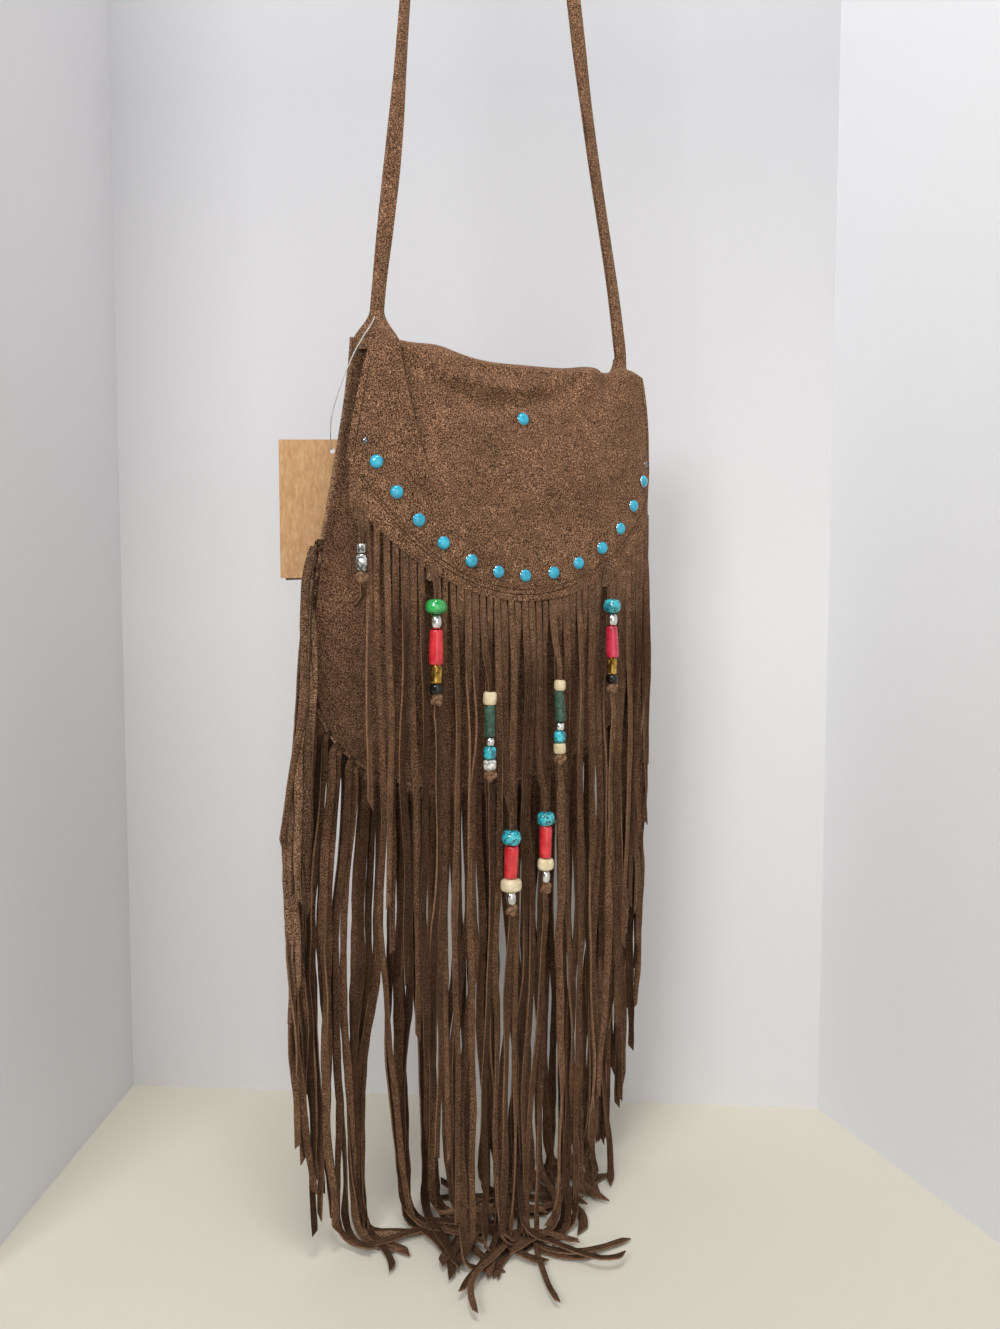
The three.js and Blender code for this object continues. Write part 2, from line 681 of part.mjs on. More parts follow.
// A bead's half section: a rounded ring about the hole; a high power gives a tube
function beadGeometry(radius, height, power) {
  const steps = 4;
  const profile = [];
  for (let i = 0; i <= steps; i += 1) {
    const angle = Math.PI * (i / steps - 0.5);
    const r = holeRadius + (radius - holeRadius) * Math.abs(Math.cos(angle)) ** (2 / power);
    const z = Math.sign(Math.sin(angle)) * Math.abs(Math.sin(angle)) ** (2 / power) * height / 2;
    profile.push([i === 0 || i === steps ? holeRadius : r, z]);
  }
  profile.push(profile[0].slice());
  return turned(profile, 8);
}

function beads() {
  const pieces = [];
  for (const string of strings) {
    let d = string.top;
    for (const [kind, radius, height, power] of string.beads) {
      const finish = beadFinish[kind === "green_tube" ? "jade" : kind.split("_")[0]];
      const bead = mesh(`${string.name}_${kind}`, beadGeometry(radius, height, power), finish);
      bead.position.set(stringX(string), stringY(string), -(d + height / 2));
      d += height + clearance;
      pieces.push(bead);
    }
  }
  return pieces;
}

// Fringe of the seam: a long band caught between the panels, slit into strands round the bottom
function outlinePoint(d, side) {
  return new THREE.Vector3(side * halfWidth(d), lean(d), -d);
}

// The seam lies in a plane that leans back
const seamNormal = new THREE.Vector3(0, pouchDepth, pouchLean).normalize();

// The outline as evenly walked points from the left corner of the mouth round to the right one
function outlineWalk() {
  const left = [];
  for (let d = mouthDrop; d < bellyDepth; d += 3) {
    left.push(outlinePoint(d, -1));
  }
  const arcSteps = 120;
  for (let i = 0; i <= arcSteps; i += 1) {
    const angle = bottomAngle * i / arcSteps;
    const x = -bellyHalfWidth * Math.cos(angle) ** (2 / outlinePower);
    const d = bellyDepth + (pouchDepth - bellyDepth) * Math.sin(angle) ** (2 / outlinePower);
    left.push(new THREE.Vector3(x, lean(d), -d));
  }
  const right = left.map((p) => new THREE.Vector3(-p.x, p.y, p.z)).reverse();
  return new THREE.CatmullRomCurve3([...left, ...right], false, "centripetal");
}

const outline = outlineWalk();
outline.arcLengthDivisions = 1200;
const outlineLength = outline.getLength();

function outlineFrame(length) {
  const u = Math.min(1, Math.max(0, length / outlineLength));
  const at = outline.getPointAt(u);
  const along = outline.getTangentAt(u);
  const out = seamNormal.clone().cross(along).normalize();
  return { at, along, out };
}

// Where the fringe starts, walked along the outline from the mouth's left corner
function fringeStart() {
  for (let length = 0; length < outlineLength / 2; length += 0.5) {
    if (-outlineFrame(length).at.z >= seamFringeDepth) {
      return length;
    }
  }
  return 0;
}

function welt() {
  const steps = 36;
  const rings = [];
  for (let i = 0; i <= steps; i += 1) {
    const { at, out } = outlineFrame(outlineLength * i / steps);
    const t = fringeSuede / 2;
    rings.push([[-weltInside, -t], [weltOutside, -t], [weltOutside, t], [-weltInside, t]].map(([u, v]) => (
      at.clone().addScaledVector(out, u).addScaledVector(seamNormal, v)
    )));
  }
  return loft(rings);
}

function seamStrand(number, count, first, last) {
  const length = mix(first, last, number / (count - 1));
  const { at, along, out } = outlineFrame(length);
  const fromStart = Math.min(length - first, last - length) / ((last - first) / 2);
  const side = Math.sign(at.x) || 1;
  const rootDepth = -at.z;
  const sideways = Math.abs(out.x);
  const above = Math.max(0, bellyHalfWidth - halfWidth(rootDepth));
  const upper = Math.max(0, (bellyDepth - rootDepth) / (bellyDepth - seamFringeDepth));
  const hangX = at.x + side * (seamReach * sideways + (above + topSpread) * upper);
  const lane = laneOffset * sideways * (number % 2 ? 1 : -1);
  const hangAcross = new THREE.Vector3(1 - sideways, sideways, 0).normalize();
  const start = at.clone().addScaledVector(out, -1.5);
  const knee = at.clone().addScaledVector(out, seamReach * 0.75);
  knee.z -= 4 * sideways;
  const drop = 12 + 40 * sideways;
  const hang = new THREE.Vector3(hangX, at.y + lane, at.z - drop);
  const sameWay = along.dot(hangAcross) < 0 ? -1 : 1;
  const turnAcross = along.clone().lerp(hangAcross.clone().multiplyScalar(sameWay), 0.5);
  const thin = fringeSuede * stretchedSuede;
  const path = [
    { at: start, across: along, thickness: thin * 0.9 },
    { at: at.clone().addScaledVector(out, weltOutside + 0.5), across: along, thickness: thin * 0.95 },
    { at: knee, across: turnAcross.normalize(), thickness: thin },
  ];
  path.push({ at: hang, across: hangAcross });
  const growth = seamLengthGrowth * Math.sin((Math.PI / 2) * fromStart);
  const end = rootDepth + seamStrandLength + growth + seamTipUnevenness * uneven(number + 3);
  const turnDown = tableDrop - tableBend - turnAbove;
  const bottom = Math.min(end, turnDown);
  const pieces = Math.max(1, Math.round((bottom + hang.z) / seamStep));
  for (let k = 1; k <= pieces; k += 1) {
    const sway = seamSway * uneven(number * 5 + k);
    path.push({
      at: new THREE.Vector3(hang.x + sway, hang.y, -mix(-hang.z, bottom, k / pieces)),
      across: hangAcross,
    });
  }
  const lastStep = path[path.length - 1];
  if (end > tableDrop) {
    const heading = Math.PI / 2 - 0.012 * at.x + 0.15 * uneven(number + 4);
    const steps = tail(lastStep.at, heading, end - tableDrop + tableBend, layerLift(number));
    path.push(...steps);
  } else {
    lastStep.width = seamStrandWidth * tipTaper;
  }
  return alignAcross(path, thin);
}

// Keeps neighbouring steps' width directions on the same side, so that the ribbon never flips
function alignAcross(path, thickness) {
  for (let i = 1; i < path.length; i += 1) {
    if (path[i].across.dot(path[i - 1].across) < 0) {
      path[i].across = path[i].across.clone().negate();
    }
  }
  return ribbon(path, seamStrandWidth, thickness);
}

function bodyFringe() {
  const first = fringeStart();
  const last = outlineLength - first;
  const count = Math.round((last - first) / seamStrandPitch) + 1;
  const strands = Array.from({ length: count }, (_, number) => seamStrand(number, count, first, last));
  return join([welt(), ...strands]);
}

// The strap's ends lie against the inside of the back panel
const againstBack = (d) => {
  const panelMiddle = panelY(1, backSwellDepth, strapSeamX + strapWidth / 2, d);
  return panelMiddle - leather / 2 - 2 * clearance - strapEndThickness / 2;
};

// The strap: a folded band from corner to corner of the mouth, flat at its ends and round its hook
function strapPath() {
  const bend = strapBendRadius + strapThickness / 2;
  const endY = againstBack(0);
  const steps = [];
  const legSteps = 9;
  for (const side of [-1, 1]) {
    const leg = [];
    const sewnEnd = againstBack(strapEndDepth);
    leg.push({ x: side * strapSeamX, y: sewnEnd, z: -strapEndDepth, flat: 0, thickness: strapEndThickness });
    leg.push({ x: side * strapSeamX, y: endY, z: 0, flat: 0, thickness: strapEndThickness });
    for (let i = 1; i <= legSteps; i += 1) {
      const share = i / legSteps;
      leg.push({
        x: mix(side * strapSeamX, hookSide + side * bend, share),
        y: mix(endY, hookBack, share),
        z: strapRise * share,
        flat: smooth(share * 1.1 - 0.1),
        thickness: strapThickness,
      });
    }
    steps.push(leg);
  }
  const arc = [];
  const arcSteps = 8;
  for (let i = 1; i < arcSteps; i += 1) {
    const angle = Math.PI * (1 - i / arcSteps);
    arc.push({
      x: hookSide + bend * Math.cos(angle),
      y: hookBack,
      z: strapRise + bend * Math.sin(angle),
      flat: 1,
      thickness: strapThickness,
    });
  }
  return [...steps[0], ...arc, ...steps[1].reverse()];
}

function strap() {
  const steps = strapPath();
  const rings = steps.map((step, i) => {
    const before = steps[Math.max(i - 1, 0)];
    const after = steps[Math.min(i + 1, steps.length - 1)];
    const along = new THREE.Vector3(after.x - before.x, after.y - before.y, after.z - before.z).normalize();
    const turn = (Math.PI / 2) * step.flat;
    const sideways = i <= steps.length / 2 ? 1 : -1;
    const wish = new THREE.Vector3(Math.cos(turn) * sideways, Math.sin(turn), 0);
    const face = along.clone().cross(wish).normalize();
    const across = face.clone().cross(along).normalize();
    const [w, t] = [strapWidth / 2, step.thickness / 2];
    const edge = t * 0.45;
    const section = [[-w, -edge], [-w + edge, -t], [w - edge, -t], [w, -edge],
      [w, edge], [w - edge, t], [-w + edge, t], [-w, edge]];
    const centre = new THREE.Vector3(step.x, step.y, step.z);
    return section.map(([u, v]) => centre.clone().addScaledVector(across, u).addScaledVector(face, v));
  });
  return loft(rings);
}

// The swing tag: two cards on a nylon thread that hangs from the strap's left end
const tagHang = new THREE.Vector3(-117, 46, -77);

function card(shiftX, shiftZ, tilt) {
  const outlineShape = new THREE.Shape();
  const [right, upper] = tagHoleInset;
  const [left, lower] = [right - tagWidth, upper - tagHeight];
  outlineShape.moveTo(left, lower);
  outlineShape.lineTo(right, lower);
  outlineShape.lineTo(right, upper);
  outlineShape.lineTo(left, upper);
  outlineShape.closePath();
  const hole = new THREE.Path();
  hole.absarc(0, 0, tagHole, 0, Math.PI * 2, true);
  outlineShape.holes.push(hole);
  const options = { depth: tagThickness, bevelEnabled: false, curveSegments: 4 };
  const geometry = new THREE.ExtrudeGeometry(outlineShape, options);
  geometry.rotateZ(tilt);
  geometry.rotateX(Math.PI / 2);
  geometry.translate(shiftX, 0, shiftZ);
  return solid(geometry);
}

function tagThread() {
  const turn = THREE.MathUtils.degToRad(tagTurn);
  const through = new THREE.Vector3(-Math.sin(turn), Math.cos(turn), 0);
  const hole = tagHang.clone().add(new THREE.Vector3(0, 0, tagHole - threadRadius - clearance));
  const points = threadRoute.map(([x, y, z]) => new THREE.Vector3(x, y, z));
  points[0].y = againstBack(0) - strapEndThickness / 2 - clearance - threadRadius;
  points.push(hole.clone().addScaledVector(through, -3), hole.clone().addScaledVector(through, 2));
  const [steps, sides] = [32, 6];
  const curve = new THREE.CatmullRomCurve3(points, false, "centripetal");
  const frames = curve.computeFrenetFrames(steps, false);
  const rings = curve.getSpacedPoints(steps).map((at, i) => Array.from({ length: sides }, (_, k) => {
    const angle = (Math.PI * 2 * k) / sides;
    return at.clone().addScaledVector(frames.normals[i], threadRadius * Math.cos(angle))
      .addScaledVector(frames.binormals[i], threadRadius * Math.sin(angle));
  }));
  return loft(rings);
}

function tag() {
  const turn = THREE.MathUtils.degToRad(tagTurn);
  const front = mesh("tag_front", card(0, 0, 0), kraft);
  front.position.copy(tagHang);
  front.rotation.z = turn;
  const back = mesh("tag_back", card(0, 0, 0.04), darkCard);
  const behind = tagThickness + clearance;
  back.position.copy(tagHang).add(new THREE.Vector3(-behind * Math.sin(turn), behind * Math.cos(turn), 0));
  back.rotation.z = turn;
  return [front, back, mesh("tag_thread", tagThread(), nylon)];
}

const bag = new THREE.Group();
bag.position.set(-hookSide, -hookBack, -(strapRise + strapBendRadius));
bag.add(mesh("front_panel", panel(-1, frontSwellDepth), suede));
bag.add(mesh("back_panel", panel(1, backSwellDepth), suede));
bag.add(mesh("flap", flap(), suede));
bag.add(mesh("flap_fringe", flapFringe(), suedeFringe));
bag.add(mesh("body_fringe", bodyFringe(), suedeFringe));
bag.add(mesh("shoulder_strap", strap(), suede));
bag.add(...studs(), ...snapHalves(), ...beads(), ...tag());

const part = new THREE.Group();
part.add(bag);

export default part;
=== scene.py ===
"""Looks of the fringed suede shoulder bag, built over its CAD part.

Points are worked out in millimetres in the bag's own frame (x from its middle, y backwards from the mouth,
z upwards from the mouth's corners) and moved into the row frame when a piece is made.
"""

import math

import bpy
import numpy as np
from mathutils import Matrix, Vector

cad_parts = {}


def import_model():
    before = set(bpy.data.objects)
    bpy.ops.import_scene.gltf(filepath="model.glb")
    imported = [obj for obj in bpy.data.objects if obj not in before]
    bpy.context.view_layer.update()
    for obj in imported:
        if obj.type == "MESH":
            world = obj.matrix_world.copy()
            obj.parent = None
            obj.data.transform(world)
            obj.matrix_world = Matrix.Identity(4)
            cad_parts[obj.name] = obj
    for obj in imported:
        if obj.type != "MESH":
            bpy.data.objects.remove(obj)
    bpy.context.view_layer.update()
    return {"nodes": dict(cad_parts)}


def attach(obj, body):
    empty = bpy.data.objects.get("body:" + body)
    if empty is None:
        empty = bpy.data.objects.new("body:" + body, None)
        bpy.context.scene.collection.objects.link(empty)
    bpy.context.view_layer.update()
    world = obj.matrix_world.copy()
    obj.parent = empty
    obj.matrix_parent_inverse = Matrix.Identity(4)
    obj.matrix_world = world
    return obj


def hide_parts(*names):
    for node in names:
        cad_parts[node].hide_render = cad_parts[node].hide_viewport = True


MM = 0.001
BAG = np.array([10.0, -17.0, -583.0])  # the bag's own origin, in the row frame

# The part's driving dimensions
LEATHER = 1.8
FRINGE_SUEDE = 1.4
CLEARANCE = 0.3
MOUTH_HALF_WIDTH = 118
BELLY_HALF_WIDTH = 140
BELLY_DEPTH = 215
POUCH_DEPTH = 325
OUTLINE_POWER = 2.4
BOTTOM_FLAT = 26
SEAM_ALLOWANCE = 7
FRONT_SWELL = 33
BACK_SWELL = 20
MOUTH_SHARE = 0.34
FULLEST_DEPTH = 120
SWELL_POWER = 3.4
POUCH_LEAN = 42
MOUTH_DROP = 8
MOUTH_SAG = 11
FLAP_TOP_HALF = 94
FLAP_SIDE_HALF = 126
FLAP_EDGE_CENTRE = 6.5
FLAP_EDGE_WIDTH = 143
FLAP_EDGE_HEIGHT = 172
FLAP_LAP = 24
FLAP_FOLD_HEIGHT = 6
FLAP_ROLL_WIDTH = 133
FLAP_ROLL_POWER = 7
FLAP_HANG_DEPTH = 105
STUD_INSET = 13
STUD_PITCH = 23.2
STUDS_EACH_SIDE = 6
RIVET_PITCH = 15
CLOSURE_DEPTH = 55
SNAP_BASE = 0.8
SNAP_CUP = 1.6
STRAP_SEAM_X = 103
STRAP_WIDTH = 11
STRAP_THICKNESS = 4.0
STRAP_END_THICKNESS = 2
STRAP_RISE = 560
STRAP_BEND = 25
HOOK_SIDE = -10
HOOK_BACK = 17
TABLE_DROP = 662
SLIT_WIDTH = 160
SLIT_HEIGHT = 177
BAND_LAP = 10
FLAP_STRANDS = 43
STRAND_PITCH = 5.8
STRAND_WIDTH = 5.1
SHORTEST_TIP = 285
TIP_GROWTH = 445
END_STRING_TIP = 187
BEAD_FORWARD = 10
STRING_WIDTH = 2.2
KNOT_HEIGHT = 7
HOLE_RADIUS = 1.9
SEAM_FRINGE_DEPTH = 143
SEAM_STRAND_PITCH = 5.5
SEAM_STRAND_WIDTH = 5.7
WELT_INSIDE = 6
WELT_OUTSIDE = 2.5
SEAM_STRAND_LENGTH = 200
SEAM_LENGTH_GROWTH = 205
TABLE_BEND = 14
TAG_HOLE = 2
TAG_HANG = np.array([-117.0, 46.0, -77.0])
TAG_TURN = math.radians(-30)
THREAD_RADIUS = 0.4
THREAD_ROUTE = [
    [-104, -3, 7], [-108, -6, 1], [-115, -8, -9], [-122, -7, -22],
    [-127.5, -2, -38], [-129, 7, -50], [-127.5, 20, -61], [-123, 33, -71],
]

# Strand number from the middle, depth of the first bead, and the beads: kind, radius, height, squareness
STRINGS = {
    "outer_left": (-13, 182, [
        ("green_rondelle", 7.7, 10.2, 2.6), ("silver_oval", 4.2, 9.7, 2), ("red_tube", 4.7, 23.4, 9),
        ("gold_tube", 3.7, 12.3, 9), ("black_rondelle", 4.3, 7, 2.6),
    ]),
    "outer_right": (12, 182, [
        ("turquoise_rondelle", 6.8, 10.2, 2.6), ("silver_oval", 4, 9.3, 2), ("crimson_tube", 4.5, 23.2, 9),
        ("gold_tube", 3.2, 12, 9), ("black_rondelle", 4.3, 6.3, 2.6),
    ]),
    "middle_left": (-6, 246, [
        ("carved_barrel", 4.9, 9.1, 4), ("green_tube", 3.8, 22, 9), ("silver_ball", 3.4, 6.2, 2),
        ("turquoise_barrel", 4.5, 8.8, 3), ("white_rondelle", 4.4, 7.4, 3),
    ]),
    "middle_right": (4, 240, [
        ("cream_barrel", 4.3, 8, 2.6), ("green_tube", 3.8, 22, 9), ("silver_ball", 3.4, 6.2, 2),
        ("turquoise_barrel", 4.5, 8.4, 3), ("carved_barrel", 4.6, 7.9, 4),
    ]),
    "inner_left": (-3, 345, [
        ("turquoise_rondelle", 7, 10.6, 2.6), ("red_tube", 5, 23.4, 9), ("cream_rondelle", 7.5, 9.4, 2.6),
        ("silver_oval", 3.7, 9.4, 2),
    ]),
    "inner_right": (2, 335, [
        ("turquoise_rondelle", 6.6, 10, 2.6), ("red_tube", 4.5, 23, 9), ("cream_rondelle", 6, 9, 2.6),
        ("silver_oval", 3.6, 9, 2),
    ]),
    "end_left": (-21, 146, [("silver_tube", 3, 6, 9), ("silver_oval", 4.2, 12, 2)]),
}


# Small helpers
def smooth(t):
    u = np.clip(t, 0.0, 1.0)
    return u * u * (3 - 2 * u)


def mix(a, b, t):
    return a + (b - a) * t


def unit(v):
    return v / max(1e-9, float(np.linalg.norm(v)))


def uneven(n):
    return math.sin(n * 2.399 + 0.7 * math.sin(n * 1.31))


def hump(x, centre, width):
    return np.exp(-(((x - centre) / width) ** 2))


def to_row(points):
    return (np.asarray(points, dtype=float) + BAG) * MM


# The pouch's and the flap's form
def lean(d):
    return POUCH_LEAN * np.maximum(0, d) / POUCH_DEPTH


def mouth_edge(x):
    return MOUTH_DROP + MOUTH_SAG * (1 - (x / MOUTH_HALF_WIDTH) ** 2)


def rounded(half, bottom, d):
    share = np.clip((d - BELLY_DEPTH) / (bottom - BELLY_DEPTH), 0, 1)
    return half * (1 - share**OUTLINE_POWER) ** (1 / OUTLINE_POWER)


def half_width(d):
    upper = mix(MOUTH_HALF_WIDTH, BELLY_HALF_WIDTH, smooth(d / BELLY_DEPTH))
    return np.where(d <= BELLY_DEPTH, upper, rounded(BELLY_HALF_WIDTH, POUCH_DEPTH, d))


def inner_half_width(d):
    lower = rounded(BELLY_HALF_WIDTH - SEAM_ALLOWANCE, POUCH_DEPTH - SEAM_ALLOWANCE, d)
    return np.where(d <= BELLY_DEPTH, half_width(d) - SEAM_ALLOWANCE, lower)


def swell(d):
    upper = mix(MOUTH_SHARE, 1, smooth(d / FULLEST_DEPTH))
    share = np.clip((d - FULLEST_DEPTH) / (POUCH_DEPTH - SEAM_ALLOWANCE - FULLEST_DEPTH), 0, None)
    return np.where(d <= FULLEST_DEPTH, upper, np.maximum(0, 1 - share**SWELL_POWER))


SEAM_OFFSET = FRINGE_SUEDE / 2 + CLEARANCE + LEATHER / 2
BOTTOM_ANGLE = math.acos((BOTTOM_FLAT / BELLY_HALF_WIDTH) ** (OUTLINE_POWER / 2))


def panel_y(side, depth, x, d):
    reach = np.minimum(1, np.abs(x) / np.maximum(1, inner_half_width(d)))
    return lean(d) + side * (SEAM_OFFSET + depth * swell(d) * (1 - reach**SWELL_POWER))


FLAP_STANDOFF = LEATHER + 3 * CLEARANCE + SNAP_BASE + SNAP_CUP


def flap_edge(x):
    return FLAP_EDGE_CENTRE + FLAP_EDGE_HEIGHT * np.sqrt(1 - (x / FLAP_EDGE_WIDTH) ** 2)


def slit_edge(x):
    return FLAP_EDGE_CENTRE + SLIT_HEIGHT * np.sqrt(1 - (x / SLIT_WIDTH) ** 2)


CORNER_DEPTH = float(flap_edge(FLAP_SIDE_HALF))


def flap_front_y(x, d):
    level = np.minimum(d, FLAP_HANG_DEPTH)
    roll = 1 - (np.abs(x) / FLAP_ROLL_WIDTH) ** FLAP_ROLL_POWER
    return lean(level) - SEAM_OFFSET - FLAP_STANDOFF - FRONT_SWELL * swell(level) * roll


def flap_back_y(x, d):
    return panel_y(1, BACK_SWELL, x, d) + LEATHER + 3 * CLEARANCE


def flap_side(d):
    share = np.clip(d / CORNER_DEPTH, 0, 1)
    return mix(FLAP_TOP_HALF, FLAP_SIDE_HALF, share**0.3)


# Creases of the worn flap: how far its front stands forward of the plain form, in millimetres
WING_CREASE = [(-96, 4), (-90, 40), (-83, 77), (-77, 96), (-70, 118)]


def wing_relief(x, d):
    """The flap's left side is drawn up to the strap: a raised wing that ends in a crease."""
    fold = np.interp(d, [p[1] for p in WING_CREASE], [p[0] for p in WING_CREASE])
    edge = -flap_side(d)
    strength = smooth((d + 6) / 16) * (1 - smooth((d - 58) / 60))
    raised = 5.4 * smooth(1.2 * (x - edge) / (fold - edge))
    hollow = -5.0 * np.exp(-np.maximum(0, x - fold) / 13)
    return strength * mix(raised, hollow, smooth((x - fold) / 1.8 + 0.5))


# Folds that sag between the strap's feet: height, depth below the highest one and its spread, middle, spread
SAGGING_FOLDS = [(4.2, 0, 6, -22, 46), (-3.6, 13, 8, -12, 58), (1.5, 27, 9, 22, 34)]

# Folds that run down the flap: height, place at the mouth, lean and spread, depth and its spread
HANGING_FOLDS = [
    (-7.5, 84, -0.3, 6, 15, 12), (4.2, 69, -0.5, 9, 24, 18),
    (2.0, 100, -0.1, 8, 34, 28), (1.8, -97.75, 0.25, 6, 100, 26),
]


def flap_relief(x, d):
    relief = wing_relief(x, d)
    highest = 34 - 17 * (np.abs(x + 18) / 62) ** 2
    for height, below, deep, middle, wide in SAGGING_FOLDS:
        relief = relief + height * hump(d, highest + below, deep) * hump(x, middle, wide)
    for height, place, slope, wide, depth, deep in HANGING_FOLDS:
        relief = relief + height * hump(x, place + slope * d, wide) * hump(d, depth, deep)
    relief = relief + 1.2 * np.sin(x / 17 + d / 39) * np.sin(d / 23 + 1.3) * smooth((d - 30) / 50)
    relief = relief + 0.8 * np.sin(x / 9.5 - d / 21 + 0.6) * smooth((d - 40) / 70)
    edge_calm = smooth((flap_edge(np.clip(x, -FLAP_SIDE_HALF, FLAP_SIDE_HALF)) - d) / 20)
    stud_calm = 1 - 0.85 * hump(x, 0, 14) * hump(d, CLOSURE_DEPTH, 13)
    return relief * mix(0.3, 1, edge_calm) * stud_calm


def flap_y(x, d):
    return flap_front_y(x, d) - flap_relief(x, d)


# Meshes
SHARP_ANGLE = math.radians(48)


def mesh_piece(name, points, faces, materials, face_slots=None):
    """A mesh object from points in the bag's frame; faces are lists of corner numbers."""
    mesh = bpy.data.meshes.new(name)
    mesh.from_pydata([tuple(p) for p in to_row(points)], [], [tuple(int(i) for i in f) for f in faces])
    for material in materials:
        mesh.materials.append(material)
    if face_slots is not None:
        mesh.polygons.foreach_set("material_index", [int(s) for s in face_slots])
    mesh.polygons.foreach_set("use_smooth", [True] * len(mesh.polygons))
    mesh.set_sharp_from_angle(angle=SHARP_ANGLE)
    mesh.update()
    obj = bpy.data.objects.new(name, mesh)
    bpy.context.scene.collection.objects.link(obj)
    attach(obj, "root")
    return obj


def stands_for(piece, slot, *names):
    """Hides the part's nodes that a piece replaces; the piece and its material slot are not used."""
    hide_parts(*names)


class Mesh:
    """Collects several closed shapes into one piece."""

    def __init__(self):
        self.points = []
        self.faces = []
        self.slots = []
        self.hang = []
        self.count = 0

    def add(self, points, faces, slots=0, hang=0.0):
        """hang says how far down its strand a point is: 0 at the root, 1 below, and -1 at a shaded root."""
        points = np.asarray(points, dtype=float).reshape(-1, 3)
        self.points.append(points)
        self.hang.append(np.broadcast_to(hang, len(points)))
        faces = np.asarray(faces) + self.count
        self.faces.extend(faces.tolist())
        if np.isscalar(slots):
            slots = [slots] * len(faces)
        self.slots.extend(slots)
        self.count += len(points)

    def piece(self, name, materials):
        """One object; quads with a doubled corner become triangles."""
        faces = clean_faces(self.faces)
        piece = mesh_piece(name, np.concatenate(self.points), faces, materials, self.slots)
        hang = piece.data.attributes.new("hang", "FLOAT", "POINT")
        hang.data.foreach_set("value", np.concatenate(self.hang))
        return piece


def grid_faces(rows, columns, closed=False):
    """Quads of a grid of points, row by row; closed joins the last column to the first."""
    i, j = np.meshgrid(np.arange(rows - 1), np.arange(columns if closed else columns - 1), indexing="ij")
    above = i * columns
    below = above + columns
    k = (j + 1) % columns
    return np.stack([above + j, above + k, below + k, below + j], axis=-1).reshape(-1, 4)


def grid_normals(grid):
    down = np.gradient(grid, axis=0)
    across = np.gradient(grid, axis=1)
    normals = np.cross(down, across)
    return normals / np.maximum(1e-9, np.linalg.norm(normals, axis=-1, keepdims=True))


def thick_sheet(grid, thickness):
    """Points and faces of a sheet about a grid, with walls round its rim."""
    rows, columns = grid.shape[:2]
    normals = grid_normals(grid)
    front = (grid + normals * thickness / 2).reshape(-1, 3)
    back = (grid - normals * thickness / 2).reshape(-1, 3)
    offset = rows * columns
    inside = grid_faces(rows, columns)
    outside = inside[:, ::-1] + offset
    top = np.arange(columns)
    right = np.arange(rows) * columns + columns - 1
    bottom = (rows - 1) * columns + np.arange(columns)[::-1]
    left = np.arange(rows)[::-1] * columns
    rim = np.concatenate([top, right[1:], bottom[1:], left[1:]])
    walls = np.stack([rim[:-1], rim[:-1] + offset, rim[1:] + offset, rim[1:]], axis=-1)
    return np.concatenate([front, back]), np.concatenate([inside, outside, walls])


def tube_rings(path, across, section_of):
    """Rings along a path; section_of(i) gives the ring's (u, v) corners in its own plane."""
    path = np.asarray(path, dtype=float)
    tangents = np.gradient(path, axis=0)
    rings = []
    for i, (at, along, side) in enumerate(zip(path, tangents, across)):
        along = unit(along)
        face = unit(np.cross(along, side))
        side = unit(np.cross(face, along))
        corners = section_of(i)
        rings.append([at + side * u + face * v for u, v in corners])
    return np.array(rings)


def closed_loft(rings):
    rows, columns = rings.shape[:2]
    faces = grid_faces(rows, columns, closed=True).tolist()
    points = rings.reshape(-1, 3)
    first = points[:columns].mean(axis=0)
    last = points[-columns:].mean(axis=0)
    points = np.concatenate([points, [first, last]])
    n = rows * columns
    for k in range(columns):
        after = (k + 1) % columns
        faces.append([n, after, k, k])
        faces.append([n + 1, n - columns + k, n - columns + after, n - columns + after])
    return points, faces


def clean_faces(faces):
    """Quads with a doubled corner become triangles."""
    return [list(dict.fromkeys(f)) for f in faces]


def turned_points(profile, segments, axis_at, axis, bulge=None):
    """A lathe of (radius, height) pairs, closed on itself; bulge(angle, height, radius) changes its radii."""
    profile = np.asarray(profile, dtype=float)
    axis = unit(np.asarray(axis, dtype=float))
    helper = np.array([1.0, 0, 0]) if abs(axis[0]) < 0.9 else np.array([0, 1.0, 0])
    u = unit(np.cross(axis, helper))
    v = np.cross(axis, u)
    angles = np.linspace(0, 2 * math.pi, segments, endpoint=False)
    radii = np.repeat(profile[:, :1], segments, axis=1)
    heights = np.repeat(profile[:, 1:], segments, axis=1)
    if bulge is not None:
        radii = radii + bulge(angles[None, :], heights, radii)
    ring = np.cos(angles)[None, :, None] * u + np.sin(angles)[None, :, None] * v
    points = np.asarray(axis_at) + radii[..., None] * ring + heights[..., None] * axis
    return points.reshape(-1, 3), grid_faces(len(profile), segments, closed=True)


